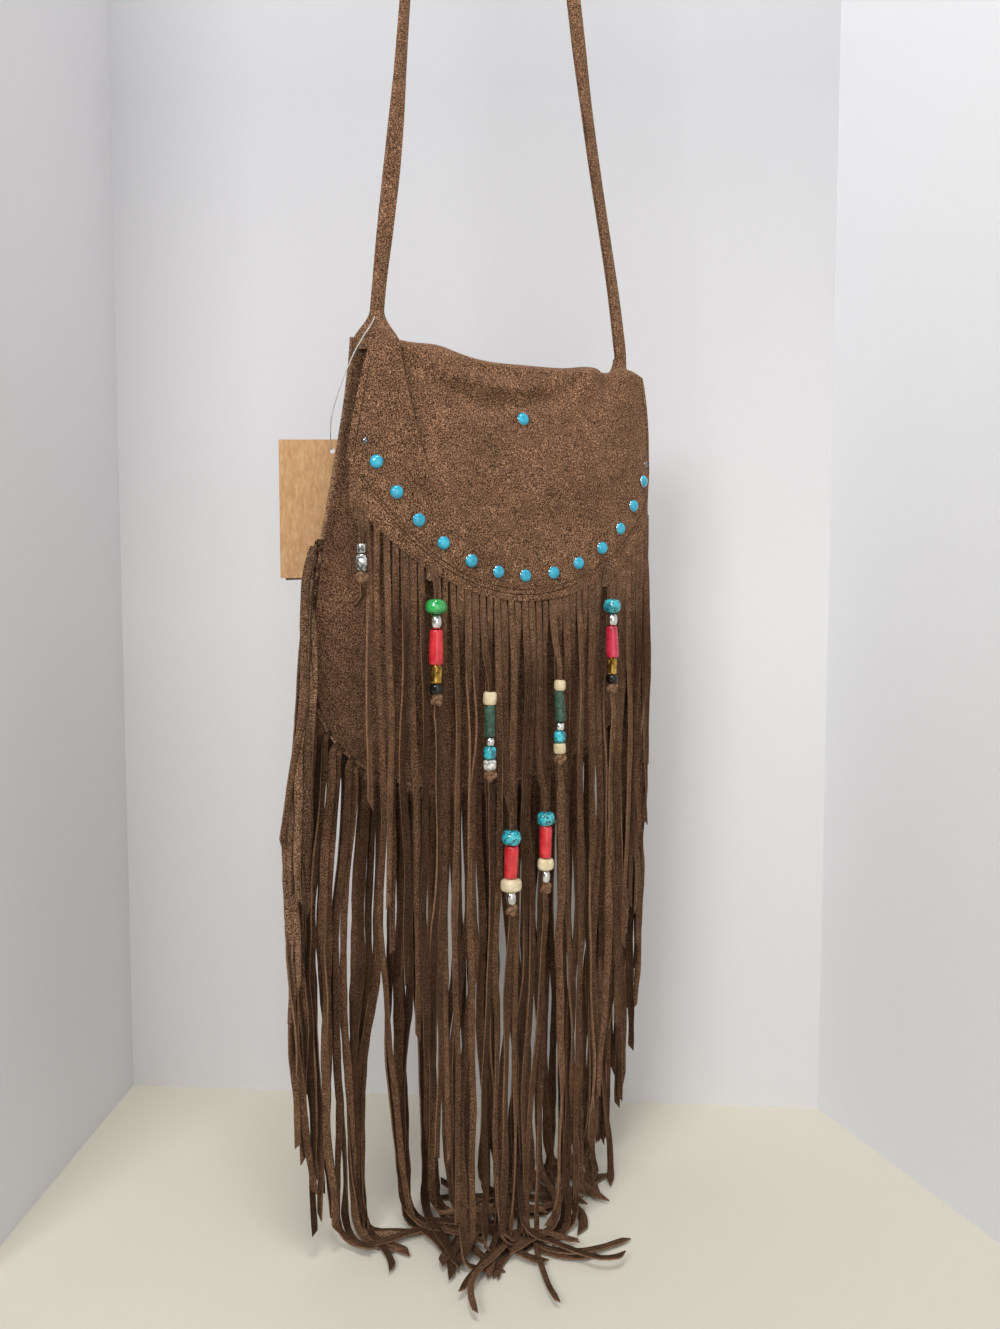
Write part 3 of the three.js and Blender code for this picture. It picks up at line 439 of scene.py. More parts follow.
def catmull(points, samples):
    """Evenly spaced points of a smooth curve; the rows may carry extra numbers after x, y and z."""
    points = np.asarray(points, dtype=float)
    gaps = np.linalg.norm(np.diff(points[:, :3], axis=0), axis=1)
    knots = np.concatenate([[0], np.cumsum(np.sqrt(np.maximum(gaps, 1e-6)))])
    padded = np.vstack([2 * points[0] - points[1], points, 2 * points[-1] - points[-2]])
    marks = np.concatenate([[knots[0] - (knots[1] - knots[0])], knots, [knots[-1] + knots[-1] - knots[-2]]])
    lengths = np.concatenate([[0], np.cumsum(gaps)])
    wanted = np.interp(np.linspace(0, lengths[-1], samples), lengths, knots)
    out = []
    for t in wanted:
        k = min(len(points) - 2, max(0, int(np.searchsorted(knots, t, side="right")) - 1))
        p = padded[k : k + 4]
        m = marks[k : k + 4]
        for reach in (1, 2):
            p = [mix(p[j], p[j + 1], (t - m[j]) / (m[j + reach] - m[j])) for j in range(4 - reach)]
        out.append(mix(p[0], p[1], (t - m[1]) / (m[2] - m[1])))
    return np.array(out)


def turned_about(v, axis, angle):
    axis = unit(axis)
    kept = axis * np.dot(axis, v) * (1 - math.cos(angle))
    return v * math.cos(angle) + np.cross(axis, v) * math.sin(angle) + kept


# Materials, with colours as sRGB numbers from 0 to 255
WHITE = (255, 255, 255)
BLACK = (0, 0, 0)
VEIN_STOPS = [(0.44, BLACK), (0.492, WHITE), (0.508, WHITE), (0.56, BLACK)]


def linear(colour):
    shares = [c / 255 for c in colour]
    return [c / 12.92 if c <= 0.04045 else ((c + 0.055) / 1.055) ** 2.4 for c in shares]


def set_inputs(tree, node, values):
    """Sets a node's inputs; a value that is another node's output is linked."""
    for key, value in values.items():
        if isinstance(value, bpy.types.NodeSocket):
            tree.links.new(value, node.inputs[key])
        else:
            node.inputs[key].default_value = value


def new_node(tree, kind, values):
    node = tree.nodes.new("ShaderNode" + kind)
    set_inputs(tree, node, values)
    return node


def new_material(name):
    material = bpy.data.materials.new(name)
    material.use_nodes = True
    return material, material.node_tree, material.node_tree.nodes["Principled BSDF"]


def noise(tree, scale, detail, rough, stretch=None):
    place = new_node(tree, "TexCoord", {}).outputs["Object"]
    if stretch is not None:
        place = new_node(tree, "Mapping", {"Vector": place, "Scale": stretch}).outputs["Vector"]
    values = {"Vector": place, "Scale": scale, "Detail": detail, "Roughness": rough}
    return new_node(tree, "TexNoise", values).outputs["Fac"]


def ramp(tree, factor, stops):
    node = new_node(tree, "ValToRGB", {"Fac": factor})
    elements = node.color_ramp.elements
    while len(elements) < len(stops):
        elements.new(0.5)
    for element, (position, colour) in zip(elements, stops):
        element.position = position
        element.color = (*linear(colour), 1)
    return node.outputs["Color"]


def mixed(tree, a, b, factor, how="MIX"):
    """a and b mixed as colours; each of the three is a value or an output."""
    node = new_node(tree, "Mix", {})
    node.data_type = "RGBA"
    node.blend_type = how
    set_inputs(tree, node, {0: factor, 6: a, 7: b})
    return node.outputs[2]


def shaded(tree, colour, factor, stops):
    """The colour, darkened by a ramp of tones."""
    return mixed(tree, colour, ramp(tree, factor, stops), 1.0, "MULTIPLY")


def bumped(tree, pattern, strength, distance):
    values = {"Height": noise(tree, *pattern), "Strength": strength, "Distance": distance}
    return new_node(tree, "Bump", values).outputs["Normal"]


def painted_gap_shade(tree, colour):
    """Painted shade: the colour, darker where a surface lies close behind another one."""
    node = new_node(tree, "AmbientOcclusion", {"Distance": 0.008})
    node.samples = 4
    return shaded(tree, colour, node.outputs["AO"], [(0.12, (48, 42, 38)), (0.66, WHITE)])


def on_strands(tree, colour):
    """The colour with a tone for each strand below its root, and shade at the roots behind the seam."""
    island = new_node(tree, "NewGeometry", {}).outputs["Random Per Island"]
    tones = ramp(tree, island, [(0.0, (120, 112, 106)), (1.0, (255, 252, 248))])
    attribute = new_node(tree, "Attribute", {})
    attribute.attribute_name = "hang"
    hang = attribute.outputs["Fac"]
    tones = mixed(tree, (1.0, 1.0, 1.0, 1.0), tones, hang)
    colour = mixed(tree, colour, tones, 1.0, "MULTIPLY")
    span = new_node(tree, "MapRange", {"Value": hang, "From Min": -1.0, "From Max": 0.0})
    return shaded(tree, colour, span.outputs["Result"], [(0.0, (96, 88, 82)), (1.0, WHITE)])


def suede_material(name, tones, cloud, strands=False):
    """Napped suede: fine speckle in three tones, brushed clouds, painted shade in the gaps and a soft sheen.
    """
    material, tree, shader = new_material(name)
    colour = ramp(tree, noise(tree, 1200, 2.0, 0.8), list(zip((0.38, 0.5, 0.64), tones)))
    colour = shaded(tree, colour, noise(tree, 24, 4.0, 0.65), [(0.3, (cloud, cloud, cloud)), (0.7, WHITE)])
    colour = shaded(tree, colour, noise(tree, 120, 3.0, 0.6), [(0.3, (214, 212, 210)), (0.7, WHITE)])
    if strands:
        colour = on_strands(tree, colour)
    set_inputs(tree, shader, {
        "Base Color": painted_gap_shade(tree, colour), "Roughness": 0.95, "Specular IOR Level": 0.12,
        "Sheen Weight": 0.2, "Sheen Roughness": 0.6, "Sheen Tint": (*linear((196, 156, 122)), 1),
        "Normal": bumped(tree, (900, 3.0, 0.7), 0.6, 0.0006),
    })
    return material


def mottled(name, pattern, stops, inputs, bump=None, veins=None):
    """Two tones in a noise pattern; bump is a pattern, strength and depth, veins a scale and a colour."""
    material, tree, shader = new_material(name)
    colour = ramp(tree, noise(tree, *pattern), stops)
    if veins is not None:
        lines = ramp(tree, noise(tree, veins[0], 5.0, 0.62), VEIN_STOPS)
        colour = mixed(tree, colour, (*linear(veins[1]), 1), lines)
    set_inputs(tree, shader, {**inputs, "Base Color": colour})
    if bump is not None:
        set_inputs(tree, shader, {"Normal": bumped(tree, *bump)})
    return material


def edge_material(name, dark, light):
    """Raw cut edge of suede, paler than its faces."""
    inputs = {"Roughness": 0.95, "Specular IOR Level": 0.1}
    return mottled(name, (700, 2.0, 0.7), [(0.3, dark), (0.7, light)], inputs)


def metal_material(name, stops, roughness, relief=None):
    bump = None if relief is None else ((relief, 2.0, 0.6), 0.5, 0.0003)
    return mottled(name, (260, 2.0, 0.5), stops, {"Metallic": 1.0, "Roughness": roughness}, bump)


def glossy_material(name, stops, scale, roughness, coat=0.0, veins=None, bump=0.0):
    """Glass, stone or glazed beads."""
    inputs = {"Roughness": roughness, "Coat Weight": coat, "Coat Roughness": 0.05}
    relief = ((500, 3.0, 0.6), bump, 0.0003) if bump else None
    return mottled(name, (scale, 3.0, 0.6), stops, inputs, relief, veins)


def card_material(name, dark, light, fleck):
    inputs = {"Roughness": 0.85, "Specular IOR Level": 0.2}
    fibres = (fleck, 4.0, 0.7, (1, 1, 0.35))
    return mottled(name, fibres, [(0.3, dark), (0.7, light)], inputs, ((700, 2.0, 0.5), 0.2, 0.0002))


def thread_material():
    inputs = {"Roughness": 0.25, "Transmission Weight": 0.5}
    return mottled("nylon_thread", (300, 1.0, 0.5), [(0.3, (214, 214, 212)), (0.7, (246, 246, 244))], inputs)


# Name, tones and darkest cloud of each suede, and whether it is slit into strands
SUEDES = {
    "suede": ("suede", ((36, 22, 15), (106, 74, 54), (206, 160, 124)), 206),
    "pouch": ("suede_pouch", ((38, 24, 16), (98, 68, 51), (188, 144, 112)), 206),
    "fringe": ("suede_fringe", ((54, 35, 24), (142, 103, 78), (250, 208, 172)), 206, True),
    "fringe_back": ("suede_fringe_back", ((62, 42, 31), (116, 84, 63), (182, 142, 112)), 200, True),
}
EDGES = {
    "edge": ("suede_edge", (84, 60, 45), (148, 114, 88)),
    "stitch": ("stitch_thread", (52, 36, 26), (104, 78, 58)),
}

# Name, tones, roughness and the scale of its relief
METALS = {
    "silver": ("silver_metal", [(0.3, (196, 196, 194)), (0.7, (236, 236, 234))], 0.14),
    "chrome": ("dark_chrome", [(0.3, (92, 90, 90)), (0.7, (140, 138, 136))], 0.12),
    "old_silver": ("ornate_silver", [(0.35, (96, 96, 94)), (0.6, (226, 226, 222))], 0.24, 900),
    "gold": ("gold_metal", [(0.35, (120, 84, 34)), (0.65, (222, 180, 92))], 0.28, 800),
}

# Name, tones, scale of the mottling, roughness, coat, veins and relief
GLOSSY = {
    "stone": ("turquoise_stone", [(0.3, (20, 138, 170)), (0.7, (46, 180, 210))], 190, 0.16, 0.6),
    "turquoise": (
        "turquoise_bead", [(0.3, (26, 150, 168)), (0.7, (72, 198, 206))], 160, 0.22, 0.5, (170, (22, 70, 84)),
    ),
    "green": ("green_glass", [(0.35, (16, 128, 58)), (0.65, (44, 172, 84))], 120, 0.1, 1.0),
    "jade": (
        "jade_bead", [(0.3, (34, 66, 52)), (0.7, (74, 116, 94))], 260, 0.42, 0.0, (300, (30, 44, 36)), 0.3,
    ),
    "red": ("red_bead", [(0.35, (188, 26, 38)), (0.7, (224, 56, 62))], 150, 0.26, 0.4),
    "crimson": ("crimson_bead", [(0.35, (168, 22, 52)), (0.7, (206, 44, 74))], 150, 0.26, 0.4),
    "black": ("black_bead", [(0.3, (8, 7, 7)), (0.7, (18, 16, 15))], 150, 0.1),
    "cream": ("cream_bead", [(0.3, (196, 176, 136)), (0.7, (232, 218, 186))], 220, 0.38, 0.2, None, 0.15),
    "white": (
        "white_bead", [(0.3, (206, 202, 194)), (0.7, (236, 232, 226))], 150, 0.28, 0.4,
        (200, (120, 116, 110)),
    ),
}
CARDS = {
    "kraft": ("kraft_card", (170, 128, 88), (202, 164, 122), 420),
    "dark_card": ("dark_card", (52, 43, 34), (96, 84, 66), 60),
}


def make_materials():
    materials = {"thread": thread_material()}
    for table, make in (
        (SUEDES, suede_material), (EDGES, edge_material), (METALS, metal_material),
        (GLOSSY, glossy_material), (CARDS, card_material),
    ):
        materials.update({key: make(*values) for key, values in table.items()})
    return materials


# Pouch
def lower_outline(angle, inset):
    x = (BELLY_HALF_WIDTH - inset) * math.cos(angle) ** (2 / OUTLINE_POWER)
    d = BELLY_DEPTH + (POUCH_DEPTH - inset - BELLY_DEPTH) * math.sin(angle) ** (2 / OUTLINE_POWER)
    return x, d


def panel_row(side, depth, edge, inner, top_share):
    s = np.sin((math.pi / 2) * np.linspace(-1, 1, 121))
    x = s * inner[0]
    d = inner[1] + top_share * (mouth_edge(x) - MOUTH_DROP)
    margin = np.linspace(0, 1, 5)[:-1]
    left_x = mix(-edge[0], x[0], margin)
    left_d = mix(edge[1], d[0], margin)
    x = np.concatenate([left_x, x, -left_x[::-1]])
    d = np.concatenate([left_d, d, left_d[::-1]])
    y = panel_y(side, depth, x, d)
    inside = 1 - np.minimum(1, np.abs(x) / np.maximum(1, inner_half_width(d)))
    soft = smooth(inside * 6) * swell(d)
    y = y + side * soft * (1.2 * np.sin(x / 21 + d / 31) * np.sin(d / 27) + 0.7 * np.sin(x / 11 - d / 17))
    return np.stack([x, y, -d], axis=-1)


def panel_grid(side, depth):
    rows = []
    upper = 80
    for i in range(upper + 1):
        d = mix(MOUTH_DROP, BELLY_DEPTH, i / upper)
        edge = (float(half_width(d)), d)
        inner = (float(inner_half_width(d)), d)
        rows.append(panel_row(side, depth, edge, inner, 1 - i / upper))
    lower = 60
    for i in range(1, lower + 1):
        edge = lower_outline(BOTTOM_ANGLE * i / (lower + 1), 0)
        inner = lower_outline(BOTTOM_ANGLE * i / lower, SEAM_ALLOWANCE)
        rows.append(panel_row(side, depth, edge, inner, 0))
    bottom = lower_outline(BOTTOM_ANGLE, 0)
    rows.append(panel_row(side, depth, bottom, (bottom[0] * 0.9, bottom[1]), 0))
    return np.array(rows)


def make_panels(materials):
    for name, side, depth in (("front_panel", -1, FRONT_SWELL), ("back_panel", 1, BACK_SWELL)):
        points, faces = thick_sheet(panel_grid(side, depth), LEATHER)
        stands_for(mesh_piece(name + "_suede", points, faces, [materials["pouch"]]), "suede", name)


# Flap
def flap_grid():
    s = np.sin(0.47 * math.pi * np.linspace(-1, 1, 181)) / math.sin(0.47 * math.pi)
    x_top = s * FLAP_TOP_HALF
    fold_level = mouth_edge(x_top) + 2 * CLEARANCE
    rows = []
    for share in np.linspace(1, 0, 12)[:-1]:
        d = fold_level + FLAP_LAP * share
        rows.append(np.stack([x_top, flap_back_y(x_top, d), -d], axis=-1))
    for share in np.linspace(0, 1, 22)[:-1]:
        angle = math.pi * share
        x = s * mix(FLAP_TOP_HALF, flap_side(fold_level), share**4)
        back = flap_back_y(x, fold_level)
        front = flap_y(x, fold_level)
        y = mix(back, front, (1 - math.cos(angle)) / 2)
        z = -fold_level + (FLAP_FOLD_HEIGHT + top_line(x)) * math.sin(angle)
        rows.append(np.stack([x, y, z], axis=-1))
    for share in np.linspace(0, 1, 141):
        d = mix(fold_level, flap_edge(s * FLAP_SIDE_HALF), share)
        x = s * flap_side(d)
        rows.append(np.stack([x, flap_y(x, d), -d], axis=-1))
    return np.array(rows)


def top_line(x):
    """Height of the fold's crest over its plain form."""
    return 3.2 * hump(x, -60, 15) - 1.6 * hump(x, -22, 22) + 1.8 * hump(x, 64, 16) - 2.6 * hump(x, 85, 7)


def make_flap(materials):
    points, faces = thick_sheet(flap_grid(), LEATHER)
    stands_for(mesh_piece("flap_suede", points, faces, [materials["suede"]]), "suede", "flap")


def seat(surface, x, d, offset):
    """Point at a distance outside a surface y(x, d), and the surface's outward direction there."""
    step = 2.0

    def at(dx, dd):
        return np.array([x + dx, float(surface(x + dx, d + dd)), -(d + dd)])

    outward = unit(np.cross(at(0, step) - at(0, -step), at(step, 0) - at(-step, 0)))
    if outward[1] > 0:
        outward = -outward
    return at(0, 0) + outward * offset, outward


# Stitches
STITCH_LENGTH = 2.6
STITCH_GAP = 1.1
STITCH_LIFT = 0.15
STITCH_RADIUS = 0.34


def circle(count):
    return np.linspace(0, 2 * math.pi, count, endpoint=False)


def stitch_row(mesh, line, surface):
    """Short thread stitches along a line of (x, d) points on a surface."""
    line = np.asarray(line, dtype=float)
    steps = np.concatenate([[0], np.cumsum(np.linalg.norm(np.diff(line, axis=0), axis=1))])
    start = 0.0
    ring = [(STITCH_RADIUS * math.cos(a), STITCH_RADIUS * math.sin(a)) for a in circle(6)]
    while start + STITCH_LENGTH < steps[-1]:
        marks = np.linspace(start, start + STITCH_LENGTH, 5)
        path = []
        across = []
        for k, mark in enumerate(marks):
            x = float(np.interp(mark, steps, line[:, 0]))
            d = float(np.interp(mark, steps, line[:, 1]))
            height = STITCH_LIFT + 0.22 * math.sin(math.pi * k / 4)
            at, outward = seat(surface, x, d, LEATHER / 2 + height)
            path.append(at)
            across.append(np.cross(outward, [0.3, 0, 1.0]))
        mesh.add(*closed_loft(tube_rings(path, across, lambda i: ring)))
        start += STITCH_LENGTH + STITCH_GAP


def make_stitches(materials):
    mesh = Mesh()
    x = np.linspace(-118, 118, 200)
    stitch_row(mesh, np.stack([x, flap_edge(x) - 3.5], axis=-1), flap_y)
    d = np.linspace(24, 86, 40)
    for side in (-1, 1):
        stitch_row(mesh, np.stack([side * (flap_side(d) - 4), d], axis=-1), flap_y)

    def front(x, d):
        return panel_y(-1, FRONT_SWELL, x, d)

    for a, b in ((-116, -98), (98, 116)):
        x = np.linspace(a, b, 20)
        stitch_row(mesh, np.stack([x, mouth_edge(x) + 4], axis=-1), front)
    mesh.piece("edge_stitching", [materials["stitch"]])


# Studs and rivets
def on_stud_row(length):
    a, b = FLAP_EDGE_WIDTH - STUD_INSET, FLAP_EDGE_HEIGHT - STUD_INSET
    angle = 0.0
    walked = 0.0
    while walked < abs(length):
        walked += 0.002 * math.hypot(a * math.cos(angle), b * math.sin(angle))
        angle += 0.002
    return math.copysign(a * math.sin(angle), length), FLAP_EDGE_CENTRE + b * math.cos(angle)


# Radius and height round the section of a stud's cup
STUD_CUP = [
    (0.1, 0), (4.5, 0), (4.68, 0.25), (4.7, 0.8), (4.62, 1.1), (4.5, 1.2),
    (4.4, 1.1), (4.36, 0.8), (0.1, 0.7),
]


def stone_profile():
    angles = [(math.pi / 2) * k / 14 for k in range(15)]
    return [(0.05, 0.75)] + [(4.33 * math.cos(a) ** 0.8 + 0.02, 0.95 + 2.3 * math.sin(a)) for a in angles]


def rivet_profile():
    angles = np.linspace(0, math.pi / 2, 12)
    return [(0.05, 0)] + [(2.5 * math.cos(a) + 0.03, 1.5 * math.sin(a)) for a in angles]


def make_studs(materials):
    cups = Mesh()
    stones = Mesh()
    surface = LEATHER / 2 + 0.05
    spots = [on_stud_row(k * STUD_PITCH) for k in range(-STUDS_EACH_SIDE, STUDS_EACH_SIDE + 1)]
    names = [f"edge_stud_{k + 1:02d}" for k in range(len(spots))]
    for x, d in [*spots, (0, CLOSURE_DEPTH)]:
        at, outward = seat(flap_y, x, d, surface)
        cups.add(*turned_points(STUD_CUP, 40, at, outward))
        stones.add(*turned_points(stone_profile(), 40, at, outward))
    stones_piece = stones.piece("stud_stones", [materials["stone"]])
    cups.piece("stud_cups", [materials["silver"]])
    stands_for(stones_piece, "turquoise_stone", *names, "closure_stud")
    for name, side in (("left_rivet", -1), ("right_rivet", 1)):
        x, d = on_stud_row(side * (STUDS_EACH_SIDE * STUD_PITCH + RIVET_PITCH))
        at, outward = seat(flap_y, x, d, surface)
        points, faces = turned_points(rivet_profile(), 28, at, outward)
        stands_for(mesh_piece(name + "_head", points, faces, [materials["chrome"]]), "silver_metal", name)


# Strands of fringe
def ribbon_section(width, thickness, curl):
    """Corners of a strand's section: two curved faces and two cut edges."""
    w, t = width / 2, thickness / 2
    rise = curl * w
    top = [(-w, -t), (-w / 3, -t + rise * 0.9), (w / 3, -t + rise * 0.9), (w, -t)]
    bottom = [(w, t), (w / 3, t + rise * 0.9), (-w / 3, t + rise * 0.9), (-w, t)]
    return top + bottom


STRAND_SLOTS = (0, 0, 0, 1, 2, 2, 2, 1)  # napped face, cut edge, smooth face, cut edge
STRAND_STEP = 6.0
STRAND_CURL = 0.5  # hollowness of a strand's face
STRAND_SHARE = 0.9  # of the suede's thickness, left in a hanging strand


# Waves along a strand: size, length for each radian, and which quickening and phase it takes
SIDEWAYS_WAVES = ((1.6, 37, 0, 0), (0.7, 15, 1, 1))
INWARD_WAVES = ((1.6, 43, 2, 2), (0.7, 19, 3, 3))
TURN_WAVES = ((1, 75, 1, 4), (0.45, 29, 0, 5))
WIDTH_WAVES = ((0.07, 8, 2, 6), (0.05, 3.7, 4, 7))
QUICKENING = (0.7, 1.3)  # range of the first four, the fifth is 1
WAVE_GROWTH = 90  # length over which a strand's waves come up
INWARD_SHARE = 0.7  # of the sway, across the strand's face
CALM_FROM, CALM_OVER = 4, 30  # height over the table where the sway has stopped, and over how much
BEND_LENGTH = 60  # in which a strand's hollow side changes, for each radian
END_SLANT = (0.5, 1.0)  # range of a cut end's slant, in widths
SHADE_FROM, SHADE_OVER = 3, 11  # where a root's shade starts to end, and over how much


def ripple(length, waves, quick, phase):
    """A sum of waves, each with its own quickening and phase."""
    return sum(size * np.sin(length / long * quick[q] + phase[p]) for size, long, q, p in waves)


def add_strand(mesh, keys, width, rng, wave, twist, still=20.0, fresh=70, root_shade=0):
    """A strand through key steps (at, across, width, thickness), with growing waves and twist along it."""
    thickness = FRINGE_SUEDE * STRAND_SHARE
    rows = [[*k["at"], *k["across"], k.get("width", width), k.get("thickness", thickness)] for k in keys]
    total = sum(np.linalg.norm(np.subtract(a["at"], b["at"])) for a, b in zip(keys, keys[1:]))
    count = max(12, int(total / STRAND_STEP))
    rows = catmull(rows, count)
    length = np.linspace(0, total, count)
    grown = smooth((length - still) / WAVE_GROWTH) * smooth((rows[:, 6] - STRING_WIDTH * 1.3) / 2)
    phase = rng.uniform(0, 2 * math.pi, 8)
    quick = [*rng.uniform(*QUICKENING, 4), 1]
    lateral = ripple(length, SIDEWAYS_WAVES, quick, phase)
    inward = ripple(length, INWARD_WAVES, quick, phase)
    turn = twist * ripple(length, TURN_WAVES, quick, phase)
    uneven_width = 1 + ripple(length, WIDTH_WAVES, quick, phase)
    table_calm = smooth((rows[:, 2] + TABLE_DROP - CALM_FROM) / CALM_OVER)
    path = rows[:, :3].copy()
    across = rows[:, 3:6]
    tangents = np.gradient(path, axis=0)
    sides = []
    for i in range(count):
        along = unit(tangents[i])
        face = unit(np.cross(along, across[i]))
        side = unit(np.cross(face, along))
        amount = wave * grown[i]
        inwards = face * amount * INWARD_SHARE * inward[i] * table_calm[i]
        path[i] = path[i] + side * amount * lateral[i] + inwards
        sides.append(turned_about(side, along, turn[i] * grown[i] * table_calm[i]))
    bend = STRAND_CURL * np.sin(length / BEND_LENGTH + phase[3])
    last = count - 1

    def section(i):
        broad = mix(1, uneven_width[i], float(grown[i]))
        return ribbon_section(rows[i, 6] * broad, rows[i, 7], bend[i] if i < last else 0)

    rings = tube_rings(path, sides, section)
    end = unit(path[-1] - path[-2])
    slant = rng.choice([-1, 1]) * rows[-1, 6] * rng.uniform(*END_SLANT) * np.linspace(-1, 1, 4)
    rings[-1][:4] += end * slant[:, None]
    rings[-1][4:] += end * slant[::-1][:, None]
    points, faces = closed_loft(rings)
    slots = [STRAND_SLOTS[k % 8] for k in range((count - 1) * 8)]
    slots += [1] * (len(faces) - len(slots))
    hang = smooth(length / fresh) - root_shade * (1 - smooth((length - SHADE_FROM) / SHADE_OVER))
    hang = np.append(np.repeat(hang, 8), hang[[0, -1]])
    mesh.add(points, faces, slots, hang)


def fringe_point(x, d):
    """Middle of the fringe's band: behind the flap, and flush with it below the flap's edge."""
    behind = LEATHER / 2 + 2 * CLEARANCE + FRINGE_SUEDE / 2
    edge = flap_edge(min(FLAP_SIDE_HALF, abs(x)))
    offset = mix(-behind, 0.1, float(smooth((d - edge) / 1.0)))
    at, _ = seat(flap_y, x, d, offset)
    return at


OUTER_STRAND = STRAND_PITCH * (FLAP_STRANDS - 1) / 2


def string_stack(beads):
    return sum(bead[2] + CLEARANCE for bead in beads)


def string_place(number):
    x = number * STRAND_PITCH
    return x, fringe_point(x, float(slit_edge(x)))[1] - BEAD_FORWARD


# Above its first bead a strand has started forward, come forward and is rolled narrow
STRING_LEADS = (24, 11, 3)
KNOT_TAIL = 7  # below its knot it has its width again


def string_steps(name, x, y):
    """Steps of a strand that comes forward, is rolled through its beads and widens below its knot."""
    _, top, beads = STRINGS[name]
    knot_end = top + string_stack(beads) + KNOT_HEIGHT
    forward = y - BEAD_FORWARD
    across = np.array([1.0, 0, 0])
    narrow = {"across": across, "width": STRING_WIDTH, "thickness": STRING_WIDTH}
    start, lead, neck = STRING_LEADS
    steps = [
        {"at": (x, mix(y, forward, 0.5), start - top), "across": across, "width": STRAND_WIDTH * 0.9},
        {"at": (x, forward, lead - top), "across": across, "width": STRAND_WIDTH * 0.75},
        {"at": (x, forward, neck - top), **narrow},
        {"at": (x, forward, -(knot_end - KNOT_HEIGHT / 2)), **narrow},
        {"at": (x, forward, -(knot_end + 1)), **narrow},
        {"at": (x, forward, -(knot_end + KNOT_TAIL)), "across": across, "width": STRAND_WIDTH * 0.8},
    ]
    return steps, knot_end + KNOT_TAIL


BOW = (2, 9)  # range of how far a standing strand bows out
BOW_FROM, BOW_OVER = 430, 150  # depth where it starts to bow, and over how much
BOW_UNTIL, BOW_BACK = 600, 60  # depth where it starts back, and over how much


def bow(steps, heading, rng):
    """A strand that stands on the table bows away from the way its end turns."""
    away = rng.uniform(*BOW)
    for step in steps:
        at = np.array(step["at"], dtype=float)
        depth = -at[2]
        out, back = smooth((depth - BOW_FROM) / BOW_OVER), smooth((depth - BOW_UNTIL) / BOW_BACK)
        amount = away * float(out * (1 - back))
        at[:2] -= amount * np.array([math.cos(heading), math.sin(heading)])
        step["at"] = at


BEND_STEPS = (0.16, 0.3, 0.43, 0.5)  # parts of a half turn, on a strand's way onto the table
BEND_SPREAD = (0.7, 1.15)  # range of its bend's radius against TABLE_BEND
BEND_LOSS = 1.6  # length that the bend takes, in its radius
SHORTEST_TAIL = 14.0
TAIL_STEP = 7.0
STEADY_TURN = (0.005, 0.02)  # range of a lying end's turn to one side, for each mm
SWINGING_TURN = (0.004, 0.03)  # range of its turn to both sides
SWING_LENGTH, RISE_LENGTH = 15, 13  # of its turns and of its rises, for each radian
RISE_OVER = 20  # length in which the rises come up


def tail(start, heading, spare, lift, rng):
    """Steps of a strand's end that turns on the table and lies there in a loose curve."""
    steps = []
    level = -TABLE_DROP + FRINGE_SUEDE / 2 + CLEARANCE + lift
    direction = np.array([math.cos(heading), math.sin(heading), 0])
    radius = TABLE_BEND * rng.uniform(*BEND_SPREAD)
    for angle in BEND_STEPS:
        a = math.pi * angle
        at = np.array([start[0], start[1], level + radius * (1 - math.sin(a))])
        at = at + direction * radius * (1 - math.cos(a))
        steps.append({"at": at, "across": np.array([-direction[1], direction[0], 0])})
    at = steps[-1]["at"]
    steady = rng.choice([-1, 1]) * rng.uniform(*STEADY_TURN)
    swing = rng.uniform(*SWINGING_TURN)
    phase = rng.uniform(0, 2 * math.pi)
    walked = 0.0
    spare = max(SHORTEST_TAIL, spare - radius * BEND_LOSS)
    while walked < spare:
        stride = min(TAIL_STEP, spare - walked + 0.5)
        walked += stride
        heading += stride * (steady + swing * math.sin(walked / SWING_LENGTH + phase))
        direction = np.array([math.cos(heading), math.sin(heading), 0])
        at = at + stride * direction
        rise = math.sin(walked / RISE_LENGTH + phase) * float(smooth(walked / RISE_OVER))
        at[2] = level + rise * min(1.0, lift / 3)
        steps.append({"at": at, "across": np.array([-direction[1], direction[0], 0])})
    return steps


HEAP = (5, -30)  # middle of the heap of strands on the table
FRONT_LEFT = -2.8  # heading, in radians, of the ends that lie to the left and front of it
LONG_STRAY = 5.5  # how far strands drift sideways on their way to the table
SHORT_STRAY = 2.5
BUNDLE_PITCH = 26.0
FLAP_LANES = (1.4, -2.6)  # neighbours hang in two lanes
TIP_UNEVENNESS = 14
SEAM_TIP_UNEVENNESS = 12
TIP_SHARE = 0.8  # of its width, left at a strand's cut end
STEP_DROP = 110  # about how far apart a strand's steps are on its way down


def hanging_steps(top, bottom):
    """Shares of the way and depths of the steps between two depths."""
    pieces = max(1, round((bottom - top) / STEP_DROP))
    return [(k / pieces, mix(top, bottom, k / pieces)) for k in range(1, pieces + 1)]


def gathered(x, end):
    """Long strands hang together in loose bundles by the time they reach the table."""
    bundle = BUNDLE_PITCH * (round(x / BUNDLE_PITCH - 0.3) + 0.3)
    return mix(x, bundle, 0.55) if end > TABLE_DROP else x


def towards_heap(at):
    return math.atan2(HEAP[1] - at[1], HEAP[0] - at[0])


def lay_down(steps, heading, end, lifts, rng):
    """Lets a strand that is too long to hang bow, turn at the table and lie there."""
    bow(steps, heading, rng)
    steps += tail(steps[-1]["at"], heading, end - TABLE_DROP + TABLE_BEND, rng.uniform(*lifts), rng)


